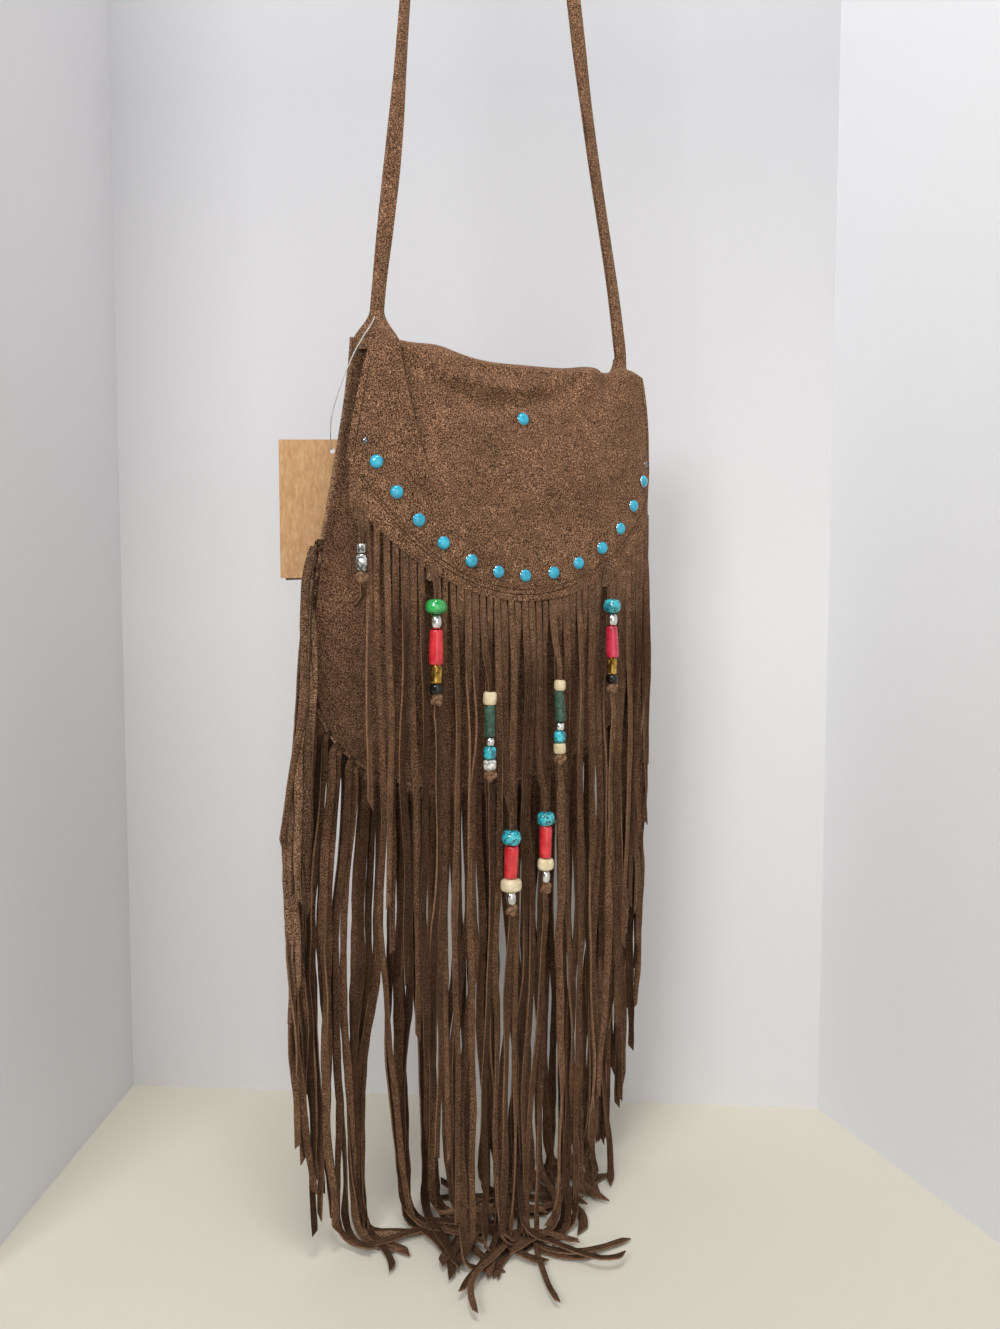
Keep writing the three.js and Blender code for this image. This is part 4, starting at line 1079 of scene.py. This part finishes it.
def flap_strand(mesh, number, rng):
    x = -OUTER_STRAND + number * STRAND_PITCH
    start = float(slit_edge(x))
    names = [n for n, (k, _, _) in STRINGS.items() if abs(k * STRAND_PITCH - x) < STRAND_PITCH / 2]
    across = np.array([1.0, 0, 0])
    y = fringe_point(x, start)[1]
    width = STRAND_WIDTH * rng.uniform(0.74, 1.08)
    top = start - rng.uniform(3, 6)
    root = {"at": fringe_point(x, top), "across": across}
    steps = [{**root, "thickness": FRINGE_SUEDE * 0.8, "width": width * 0.9},
             {"at": (x, y, -(start + 7)), "across": across}]
    lane = FLAP_LANES[number % 2] + rng.uniform(-1.8, 1.4)
    growth = TIP_GROWTH * math.sin((math.pi / 2) * (1 - abs(x) / OUTER_STRAND))
    end = SHORTEST_TIP + growth + TIP_UNEVENNESS * uneven(number)
    d = start + 7
    if names:
        more, d = string_steps(names[0], x, y)
        steps += more
        if names[0] == "end_left":
            end = END_STRING_TIP
    else:
        d = start + 45
        steps.append({"at": (x + 0.4 * uneven(number + 5), y + lane, -d), "across": across})
    stray = LONG_STRAY if end > TABLE_DROP else SHORT_STRAY
    settled = np.array([gathered(x, end) + rng.normal(0, stray), y + lane + rng.normal(0, 0.7 * stray), 0])
    bottom = min(end, TABLE_DROP - TABLE_BEND - 9)
    origin = np.array(steps[-1]["at"], dtype=float)
    for share, depth in hanging_steps(d, bottom):
        at = mix(origin, settled, share**2)
        at[0] += rng.uniform(-2.4, 2.4) if share < 1 else 0
        at[1] += rng.uniform(-1.6, 1.6) if share < 1 else 0
        at[2] = -depth
        steps.append({"at": at, "across": across})
    if end > TABLE_DROP:
        inwards = towards_heap(steps[-1]["at"])
        heading = rng.choice([inwards, FRONT_LEFT], p=[0.55, 0.45]) + rng.uniform(-0.6, 0.6)
        lay_down(steps, heading, end, (0.4, 8), rng)
    steps[-1]["width"] = width * TIP_SHARE
    add_strand(mesh, steps, width, rng, 0.85, rng.uniform(0.3, 1.1))


def band_grid():
    half = OUTER_STRAND + STRAND_WIDTH / 2
    rows = []
    for share in np.linspace(0, 1, 26):
        row = []
        for x in np.linspace(-half, half, 141):
            edge = float(flap_edge(min(FLAP_SIDE_HALF, abs(x))))
            top = max(CORNER_DEPTH - 1, edge - BAND_LAP)
            row.append(fringe_point(x, mix(top, float(slit_edge(x)), share)))
        rows.append(row)
    return np.array(rows)


def knot_points(centre, rng):
    """An overhand knot of narrow suede."""
    turn = rng.uniform(0, 2 * math.pi)
    path = []
    for t in circle(48):
        x = math.sin(t) + 2 * math.sin(2 * t)
        y = math.cos(t) - 2 * math.cos(2 * t)
        z = -math.sin(3 * t)
        x, y = x * math.cos(turn) - y * math.sin(turn), x * math.sin(turn) + y * math.cos(turn)
        path.append(np.array(centre) + np.array([x * 1.1, z * 1.3 - 1, y]))
    path = np.array(path)
    rings = []
    for i in range(len(path)):
        along = unit(path[(i + 1) % len(path)] - path[i - 1])
        side = unit(np.cross(along, np.array([0, 1.0, 0.2])))
        face = np.cross(along, side)
        rings.append([path[i] + side * 1.9 * math.cos(a) + face * 1.5 * math.sin(a) for a in circle(8)])
    rings.append(rings[0])
    rings = np.array(rings)
    return rings.reshape(-1, 3), grid_faces(len(rings), 8, closed=True)


def make_flap_fringe(materials):
    rng = np.random.default_rng(11)
    mesh = Mesh()
    mesh.add(*thick_sheet(band_grid(), FRINGE_SUEDE), 3)
    for number in range(FLAP_STRANDS):
        flap_strand(mesh, number, rng)
    for k, top, beads in STRINGS.values():
        x, y = string_place(k)
        centre = (x, y, -(top + string_stack(beads) + KNOT_HEIGHT / 2))
        mesh.add(*knot_points(centre, rng), 4)
    finishes = [materials[key] for key in ("fringe", "edge", "fringe_back", "suede", "edge")]
    stands_for(mesh.piece("flap_fringe_suede", finishes), "suede_fringe", "flap_fringe")


# Seam fringe
SEAM_NORMAL = unit(np.array([0, POUCH_DEPTH, POUCH_LEAN]))


def outline_walk():
    upper = [(-float(half_width(d)), d) for d in np.arange(MOUTH_DROP, BELLY_DEPTH, 1.5)]
    lower = [lower_outline(BOTTOM_ANGLE * i / 240, 0) for i in range(241)]
    left = np.array(upper + [(-x, d) for x, d in lower])
    right = left[::-1] * [-1, 1]
    flat = np.concatenate([left, right])
    points = np.stack([flat[:, 0], lean(flat[:, 1]), -flat[:, 1]], axis=-1)
    lengths = np.concatenate([[0], np.cumsum(np.linalg.norm(np.diff(points, axis=0), axis=1))])
    return points, lengths


OUTLINE, OUTLINE_LENGTHS = outline_walk()
OUTLINE_LENGTH = float(OUTLINE_LENGTHS[-1])


def outline_at(length):
    return np.array([np.interp(length, OUTLINE_LENGTHS, OUTLINE[:, k]) for k in range(3)])


def outline_frame(length):
    at = outline_at(length)
    along = unit(outline_at(min(OUTLINE_LENGTH, length + 2)) - outline_at(max(0, length - 2)))
    out = unit(np.cross(SEAM_NORMAL, along))
    return at, along, out


def seam_band(mesh, lengths, corners_at, hang=0.0):
    """A band along the seam; corners_at gives its corners across the seam: outwards and backwards."""
    rings = []
    for length in lengths:
        at, _, out = outline_frame(length)
        rings.append([at + out * u + SEAM_NORMAL * v for u, v in corners_at(at, out)])
    mesh.add(*closed_loft(np.array(rings)), hang=hang)


def welt_corners(at, out):
    t = FRINGE_SUEDE / 2
    return [(-WELT_INSIDE, -t), (WELT_OUTSIDE, -t), (WELT_OUTSIDE, t), (-WELT_INSIDE, t)]


def root_corners(at, out):
    """The strip that stays whole behind the strands' roots, darkened all over with painted shade."""
    reach = mix(6.5, 5.5 if at[0] < 0 else 2.0, abs(out[0]))
    return [(-1.0, 1.4), (reach, 1.4), (reach, 2.1), (-1.0, 2.1)]


# The front, middle and back rows of seam strands: how far they stand off the pouch and hang backwards,
# their share of the width, the width of their roots in pitches, and how far the roots lie behind the seam
SEAM_ROWS = [(8.5, -4, 1, 0.84, 0), (6.5, 0, 1, 0.84, 0), (1.5, 5, 1.2, 2.4, 1.0)]
RIGHT_REACH = 0.3  # share of the reach that is left on the pouch's right side
LONGEST_GROWTH = 1.12  # of the growth in length that the part has

# How the bundles at the pouch's sides lean outwards: depths and sideways shifts
LEFT_FLARE = ([180, 240, 306, 350, 500, 600], [0, -3, -6, -12, -10, -5])
RIGHT_FLARE = ([300, 650], [0, -7])


def seam_strand(mesh, number, count, first, last, rng):
    length = mix(first, last, number / (count - 1))
    at, along, out = outline_frame(length)
    from_start = min(length - first, last - length) / ((last - first) / 2)
    side = 1 if at[0] >= 0 else -1
    root_depth = -at[2]
    sideways = abs(out[0])
    above = max(0, BELLY_HALF_WIDTH - float(half_width(root_depth)))
    upper = max(0, (BELLY_DEPTH - root_depth) / (BELLY_DEPTH - SEAM_FRINGE_DEPTH))
    reach, back, broad, root_pitches, behind = SEAM_ROWS[number % 3]
    reach = reach * (1 if side < 0 else RIGHT_REACH)
    hang_x = at[0] + side * (reach * sideways + (above if side < 0 else 0.4 * above) * upper)
    lane = back * sideways + rng.uniform(-1.5, 1.5)
    turn = -0.3 + rng.uniform(-0.6, 0.6) * sideways
    hang_across = np.array([math.cos(turn), math.sin(turn), 0])
    if np.dot(along, hang_across) < 0:
        hang_across = -hang_across
    width = SEAM_STRAND_WIDTH * rng.uniform(0.82, 1.15) * broad
    knee = at + out * max(3.5, reach * 0.8) + np.array([0, 0.4 * lane, -3 * sideways])
    hang = np.array([hang_x, at[1] + lane, at[2] - (10 + 14 * sideways)])
    root_width = SEAM_STRAND_PITCH * root_pitches
    behind = SEAM_NORMAL * behind
    steps = [
        {"at": at - out * 1.5 + behind, "across": along, "width": root_width},
        {"at": at + out * (WELT_OUTSIDE + 0.5) + behind, "across": along, "width": root_width},
        {"at": knee + behind, "across": unit(along + hang_across), "width": mix(root_width, width, 0.5)},
        {"at": hang, "across": hang_across},
    ]
    growth = SEAM_LENGTH_GROWTH * math.sin((math.pi / 2) * from_start)
    end = root_depth + SEAM_STRAND_LENGTH + LONGEST_GROWTH * growth + SEAM_TIP_UNEVENNESS * uneven(number + 3)
    bottom = min(end, TABLE_DROP - TABLE_BEND - 6)
    flare = LEFT_FLARE if side < 0 else RIGHT_FLARE
    stray = LONG_STRAY if end > TABLE_DROP else SHORT_STRAY
    drift = rng.normal(0, stray, 2) + [gathered(hang[0], end) - hang[0], 0]
    for share, depth in hanging_steps(-hang[2], bottom):
        sway = rng.uniform(-2.2, 2.2, 2) + drift * share**2
        x = hang[0] + sway[0] + sideways * float(np.interp(depth, *flare))
        steps.append({"at": np.array([x, hang[1] + sway[1], -depth]), "across": hang_across})
    if end > TABLE_DROP:
        heading = towards_heap(steps[-1]["at"]) + rng.uniform(-0.9, 0.9)
        lay_down(steps, heading, end, (0.2, 6), rng)
        for before, after in zip(steps, steps[1:]):
            if np.dot(before["across"], after["across"]) < 0:
                after["across"] = -after["across"]
    steps[-1]["width"] = width * TIP_SHARE
    # Each seam strand's root is darkened with painted shade that fades out below the seam.
    add_strand(mesh, steps, width, rng, 0.9, rng.uniform(0.3, 1.0), still=30, fresh=10, root_shade=1)


def make_body_fringe(materials):
    rng = np.random.default_rng(23)
    mesh = Mesh()
    seam_band(mesh, np.linspace(0, OUTLINE_LENGTH, 220), welt_corners)
    depths = np.interp(np.arange(0, OUTLINE_LENGTH / 2, 0.5), OUTLINE_LENGTHS, -OUTLINE[:, 2])
    first = 0.5 * int(np.argmax(depths >= SEAM_FRINGE_DEPTH))
    last = OUTLINE_LENGTH - first
    count = round((last - first) / SEAM_STRAND_PITCH) + 1
    # The strip behind the roots takes the full painted root shade, as a dark backing where the roots leave
    # gaps.
    seam_band(mesh, np.linspace(first, last, 160), root_corners, hang=-1.0)
    for number in range(count):
        seam_strand(mesh, number, count, first, last, rng)
    finishes = [materials[key] for key in ("fringe", "edge", "fringe_back")]
    stands_for(mesh.piece("body_fringe_suede", finishes), "suede_fringe", "body_fringe")


# Strap
def against_back(d):
    middle = float(panel_y(1, BACK_SWELL, STRAP_SEAM_X + STRAP_WIDTH / 2, d))
    return middle - LEATHER / 2 - 2 * CLEARANCE - STRAP_END_THICKNESS / 2


STRAP_TURNS = {
    -1: ([-30, 0, 25, 80, 175, 255, 400, 560], [0, 0, 25, -28, 30, 45, 70, 90]),
    1: ([-30, 0, 190, 270, 420, 560], [180, 188, 198, 152, 120, 90]),
}


def strap_steps():
    """From the left end to the right: centre, turn of the flat side in degrees, width and thickness."""
    legs = {}
    for side in (-1, 1):
        leg = []
        heights = [-30, -20, -10, 0, *np.linspace(8, STRAP_RISE, 90)]
        for z in heights:
            share = max(0.0, z / STRAP_RISE)
            x = mix(side * STRAP_SEAM_X, HOOK_SIDE + side * STRAP_BEND, share)
            base = against_back(-z) if z <= 0 else against_back(0)
            y = mix(base, HOOK_BACK, share)
            x += 1.2 * math.sin(z / 47 + side) * smooth(z / 60) * smooth((STRAP_RISE - z) / 60)
            turn = float(np.interp(z, *STRAP_TURNS[side]))
            thickness = mix(STRAP_END_THICKNESS, STRAP_THICKNESS, float(smooth(z / 16)))
            width = STRAP_WIDTH + 0.6 * math.sin(z / 31 + 2 * side)
            leg.append((np.array([x, y, z]), turn, width, thickness))
        legs[side] = leg
    arc = []
    for angle in np.linspace(math.pi, 0, 26)[1:-1]:
        across, up = STRAP_BEND * math.cos(angle), STRAP_BEND * math.sin(angle)
        at = np.array([HOOK_SIDE + across, HOOK_BACK, STRAP_RISE + up])
        arc.append((at, 90.0, STRAP_WIDTH, STRAP_THICKNESS))
    return legs[-1] + arc + legs[1][::-1]


def strap_section(width, thickness):
    """A band folded lengthways: rounded fold on one side, two raw edges with a groove on the other."""
    w, t = width / 2, thickness / 2
    fold = [(-w + t * (1 - math.sin(a)), t * math.cos(a)) for a in np.linspace(0, math.pi, 7)]
    edge = [(-w * 0.2, -t * 1.04), (w * 0.45, -t), (w - 0.3, -t * 0.82), (w, -t * 0.45), (w - 0.9, -t * 0.06)]
    return fold + edge + [(u, -v) for u, v in edge[::-1]]


def make_strap(materials):
    steps = strap_steps()
    path = np.array([s[0] for s in steps])
    for _ in range(3):
        path[1:-1] = (path[:-2] + 2 * path[1:-1] + path[2:]) / 4
    turns = np.array([s[1] for s in steps])
    for _ in range(8):
        turns[1:-1] = (turns[:-2] + 2 * turns[1:-1] + turns[2:]) / 4
    across = [np.array([math.cos(math.radians(a)), math.sin(math.radians(a)), 0]) for a in turns]
    rings = tube_rings(path, across, lambda i: strap_section(steps[i][2], steps[i][3]))
    points, faces = closed_loft(rings)
    piece = mesh_piece("shoulder_strap_suede", points, clean_faces(faces), [materials["suede"]])
    stands_for(piece, "suede", "shoulder_strap")


FOOT_RISE = 16  # height at which a leg of the strap has left the drawn-up corner
FOOT_HALF = 4.6  # half the width of the corner's peak round the leg
FOOT_PEAKS = {-1: 14, 1: 3}  # height of the left and the right peak


def strap_foot(side):
    """Distance from the bag's middle at which a leg of the strap leaves the pouch."""
    return STRAP_SEAM_X - FOOT_RISE / STRAP_RISE * (STRAP_SEAM_X - STRAP_BEND - side * HOOK_SIDE)


def make_strap_ends(materials):
    """The pouch's corners, drawn up to a peak round the strap's foot."""
    mesh = Mesh()
    for side in (-1, 1):
        rows = []
        foot = strap_foot(side)
        for share in np.linspace(0, 1, 24):
            z = mix(FOOT_PEAKS[side], -16, share)
            spread = float(smooth(share * 1.1)) ** 1.2
            outer = mix(foot + FOOT_HALF, MOUTH_HALF_WIDTH + 1, spread)
            inner = mix(foot - FOOT_HALF, 86, spread)
            row = []
            for s in np.linspace(-1, 1, 25):
                x = mix(inner, outer, (s + 1) / 2)
                bulge = (1 - s * s) * mix(2.6, 3.0, spread)
                y = mix(1.5, -5.5, spread * (1 - max(0, s) ** 2)) - bulge
                row.append((side * x, y, z))
            rows.append(row[::side])
        mesh.add(*thick_sheet(np.array(rows), 1.4))
    mesh.piece("strap_foot_suede", [materials["suede"]])


# Beads
def bead_profile(radius, height, power, steps=18):
    profile = []
    for i in range(steps + 1):
        angle = math.pi * (i / steps - 0.5)
        r = HOLE_RADIUS + (radius - HOLE_RADIUS) * abs(math.cos(angle)) ** (2 / power)
        z = math.copysign(abs(math.sin(angle)) ** (2 / power), math.sin(angle)) * height / 2
        profile.append((HOLE_RADIUS if i in (0, steps) else r, z))
    profile.append(profile[0])
    return profile


def bead_relief(kind, radius, phase):
    """How a bead's surface departs from a plain lathe, as a function of angle, height and radius."""

    def relief(angle, z, r):
        outer = smooth((r - HOLE_RADIUS - 0.3) / 0.8)
        if kind == "carved_barrel":
            slope = z * 1.1
            grooves = np.abs(np.sin(4 * angle + slope + phase)) * np.abs(np.sin(4 * angle - slope + phase))
            return -0.5 * outer * (1 - grooves**0.6)
        if kind == "gold_tube":
            return 0.32 * outer * np.sin(5 * angle + z * 1.3 + phase)
        if kind in ("ornate_oval", "ornate_tube"):
            return 0.4 * outer * np.sin(6 * angle + phase) * np.sin(z * 1.9 + phase)
        if kind.endswith("rondelle"):
            wave = 0.05 * radius * np.sin(2 * angle + phase) + 0.03 * radius * np.sin(3 * angle + 2 * phase)
            return outer * (wave + 0.02 * radius * np.sin(z * 0.9 + phase))
        if kind.endswith("tube"):
            return 0.14 * outer * np.sin(z * 0.55 + phase) + 0.1 * outer * np.sin(2 * angle + z * 0.2 + phase)
        return 0.03 * radius * outer * np.sin(2 * angle + phase)

    return relief


# Slots of the beads whose slot isn't named after their own finish
BEAD_SLOTS = {
    "green": "green_glass", "silver": "silver_metal", "old_silver": "silver_metal", "gold": "gold_metal",
    "crimson": "red_bead",
}


def bead_finish(name, kind):
    """Key of a bead's material, and its slot."""
    finish = kind.split("_")[0]
    if name == "end_left":
        finish = "old_silver"
    elif kind == "green_tube":
        finish = "jade"
    elif finish == "carved":
        finish = "cream"
    return finish, BEAD_SLOTS.get(finish, finish + "_bead")


def make_beads(materials):
    rng = np.random.default_rng(5)
    for name, (k, d, beads) in STRINGS.items():
        x, y = string_place(k)
        for kind, radius, height, power in beads:
            tilt = unit(np.array([rng.uniform(-0.05, 0.05), rng.uniform(-0.05, 0.05), 1]))
            shape = kind
            if name == "end_left":
                shape = "ornate_oval" if kind == "silver_oval" else "ornate_tube"
            relief = bead_relief(shape, radius, rng.uniform(0, 6))
            centre = (x, y, -(d + height / 2))
            points, faces = turned_points(bead_profile(radius, height, power), 36, centre, tilt, relief)
            finish, slot = bead_finish(name, kind)
            piece = mesh_piece(f"{name}_{kind}_bead", points, faces, [materials[finish]])
            stands_for(piece, slot, f"{name}_{kind}")
            d += height + CLEARANCE


# Thread and tag
def thread_points():
    points = [list(p) for p in THREAD_ROUTE]
    points[0][1] = against_back(0) - STRAP_END_THICKNESS / 2 - CLEARANCE - THREAD_RADIUS
    through = np.array([-math.sin(TAG_TURN), math.cos(TAG_TURN), 0])
    hole = TAG_HANG + np.array([0, 0, TAG_HOLE - THREAD_RADIUS - CLEARANCE])
    points.append(list(hole - 3 * through))
    points.append(list(hole + 2 * through))
    return catmull(points, 60)


def make_thread(material):
    points = to_row(thread_points())
    data = bpy.data.curves.new("tag_thread_nylon", "CURVE")
    data.dimensions = "3D"
    spline = data.splines.new("POLY")
    spline.points.add(len(points) - 1)
    for point, at in zip(spline.points, points):
        point.co = (*at, 1)
    data.bevel_depth = THREAD_RADIUS * MM
    data.bevel_resolution = 3
    data.use_fill_caps = True
    data.materials.append(material)
    piece = bpy.data.objects.new("tag_thread_nylon", data)
    bpy.context.scene.collection.objects.link(piece)
    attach(piece, "root")
    stands_for(piece, "nylon_thread", "tag_thread")


def dress_nodes(nodes, materials):
    """Materials of the CAD pieces that are shown as they are."""
    finishes = {"tag_front": "kraft", "tag_back": "dark_card", "snap_knob": "silver", "snap_cup": "silver"}
    for name, finish in finishes.items():
        node = nodes[name]
        node.data.materials.clear()
        node.data.materials.append(materials[finish])


# Surroundings
FLOOR_Z = (BAG[2] - TABLE_DROP) * MM
WALL_CORNERS = [(-0.36, 0.10), (-0.197, 0.361), (0.355, -0.010), (0.297, -0.34)]
# The walls' colours darken above the bag: painted shade.
WALLS = [  # each with its colour at the floor and above the bag
    ("left_wall", (222, 221, 223), (208, 207, 209)),
    ("back_wall", (220, 219, 220), (186, 186, 189)),
    ("right_wall", (229, 230, 233), (222, 223, 226)),
]
FLOOR_COLOUR = (224, 219, 205)
FLOOR_HALF = 6.0
WALL_TOP = 0.9
FADE_TOP = -0.3  # above here a wall has its upper colour


def shade_graded_paper(name, low, high, one_sided=False):
    """Paper whose colour changes evenly from the floor to above the bag; a darker colour above is painted
    shade.

    One-sided paper is clear from behind, so that a wall never stands between the bag and another view.
    """
    material, tree, shader = new_material(name)
    place = new_node(tree, "TexCoord", {}).outputs["Object"]
    height = new_node(tree, "SeparateXYZ", {"Vector": place}).outputs["Z"]
    span = new_node(tree, "MapRange", {"Value": height, "From Min": FLOOR_Z, "From Max": FADE_TOP})
    colour = ramp(tree, span.outputs["Result"], [(0.0, low), (0.5, low), (1.0, high)])
    set_inputs(tree, shader, {"Base Color": colour, "Roughness": 0.9, "Specular IOR Level": 0.1})
    if one_sided:
        behind = new_node(tree, "NewGeometry", {}).outputs["Backfacing"]
        clear = new_node(tree, "BsdfTransparent", {}).outputs["BSDF"]
        either = new_node(tree, "MixShader", {"Fac": behind, 1: shader.outputs["BSDF"], 2: clear})
        set_inputs(tree, tree.nodes["Material Output"], {"Surface": either.outputs["Shader"]})
    return material


def stage_mesh(name, corners, material):
    """One flat quad of the surroundings."""
    mesh = bpy.data.meshes.new(name)
    mesh.from_pydata(corners, [], [(0, 1, 2, 3)])
    mesh.materials.append(material)
    obj = bpy.data.objects.new(name, mesh)
    bpy.context.scene.collection.objects.link(obj)


def make_stage():
    corners = [(-1, -1), (1, -1), (1, 1), (-1, 1)]
    floor = [(x * FLOOR_HALF, y * FLOOR_HALF, FLOOR_Z) for x, y in corners]
    stage_mesh("floor", floor, shade_graded_paper("floor_paper", FLOOR_COLOUR, FLOOR_COLOUR))
    low = [(x, y, FLOOR_Z) for x, y in WALL_CORNERS]
    high = [(x, y, WALL_TOP) for x, y in WALL_CORNERS]
    for k, (name, below, above) in enumerate(WALLS):
        paper = shade_graded_paper(name + "_paper", below, above, one_sided=True)
        stage_mesh(name, [low[k], low[k + 1], high[k + 1], high[k]], paper)


# Name, place, what it is aimed at, size and power of each light
BAG_MIDDLE = (0.0, 0.0, -0.9)
LIGHTS = [
    ("key", (-1.45, -1.05, 0.1), BAG_MIDDLE, 0.7, 17),
    ("front", (-0.4, -1.7, -0.6), BAG_MIDDLE, 1.2, 6.5),
    ("fill", (1.1, -1.5, -0.8), BAG_MIDDLE, 1.6, 4),
    ("top", (-0.25, -0.5, 0.4), (0, 0, -0.7), 0.4, 8),
    ("back", (0.9, 1.3, -0.1), BAG_MIDDLE, 1.2, 7),
]
SKY_COLOUR = (1.0, 0.99, 0.98, 1)
SKY_STRENGTH = 0.3


def make_lights():
    for name, place, target, size, power in LIGHTS:
        data = bpy.data.lights.new(name, "AREA")
        data.size = size
        data.energy = power
        light = bpy.data.objects.new(name, data)
        light.location = place
        light.rotation_euler = (Vector(target) - Vector(place)).to_track_quat("-Z", "Y").to_euler()
        bpy.context.scene.collection.objects.link(light)
    world = bpy.data.worlds.new("world")
    world.use_nodes = True
    sky = world.node_tree.nodes["Background"]
    set_inputs(world.node_tree, sky, {"Color": SKY_COLOUR, "Strength": SKY_STRENGTH})
    bpy.context.scene.world = world


CAMERA_LENS = 27.03
CAMERA_PLACE = (-0.3625, -0.6518, -0.766)
CAMERA_TILT = 3.67  # degrees downwards
CAMERA_TURN = 30  # degrees to the right of straight on


def make_camera():
    data = bpy.data.cameras.new("camera")
    data.lens = CAMERA_LENS
    data.sensor_width = 36
    data.clip_start = 0.01
    camera = bpy.data.objects.new("camera", data)
    camera.location = CAMERA_PLACE
    camera.rotation_euler = (math.radians(90 - CAMERA_TILT), 0, math.radians(-CAMERA_TURN))
    bpy.context.scene.collection.objects.link(camera)
    bpy.context.scene.camera = camera


def main():
    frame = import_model()
    make_camera()
    materials = make_materials()
    make_thread(materials["thread"])
    make_panels(materials)
    make_flap(materials)
    make_stitches(materials)
    make_studs(materials)
    make_flap_fringe(materials)
    make_body_fringe(materials)
    make_strap(materials)
    make_strap_ends(materials)
    make_beads(materials)
    dress_nodes(frame["nodes"], materials)
    make_stage()
    make_lights()
    bpy.context.scene.view_settings.view_transform = "Standard"


main()
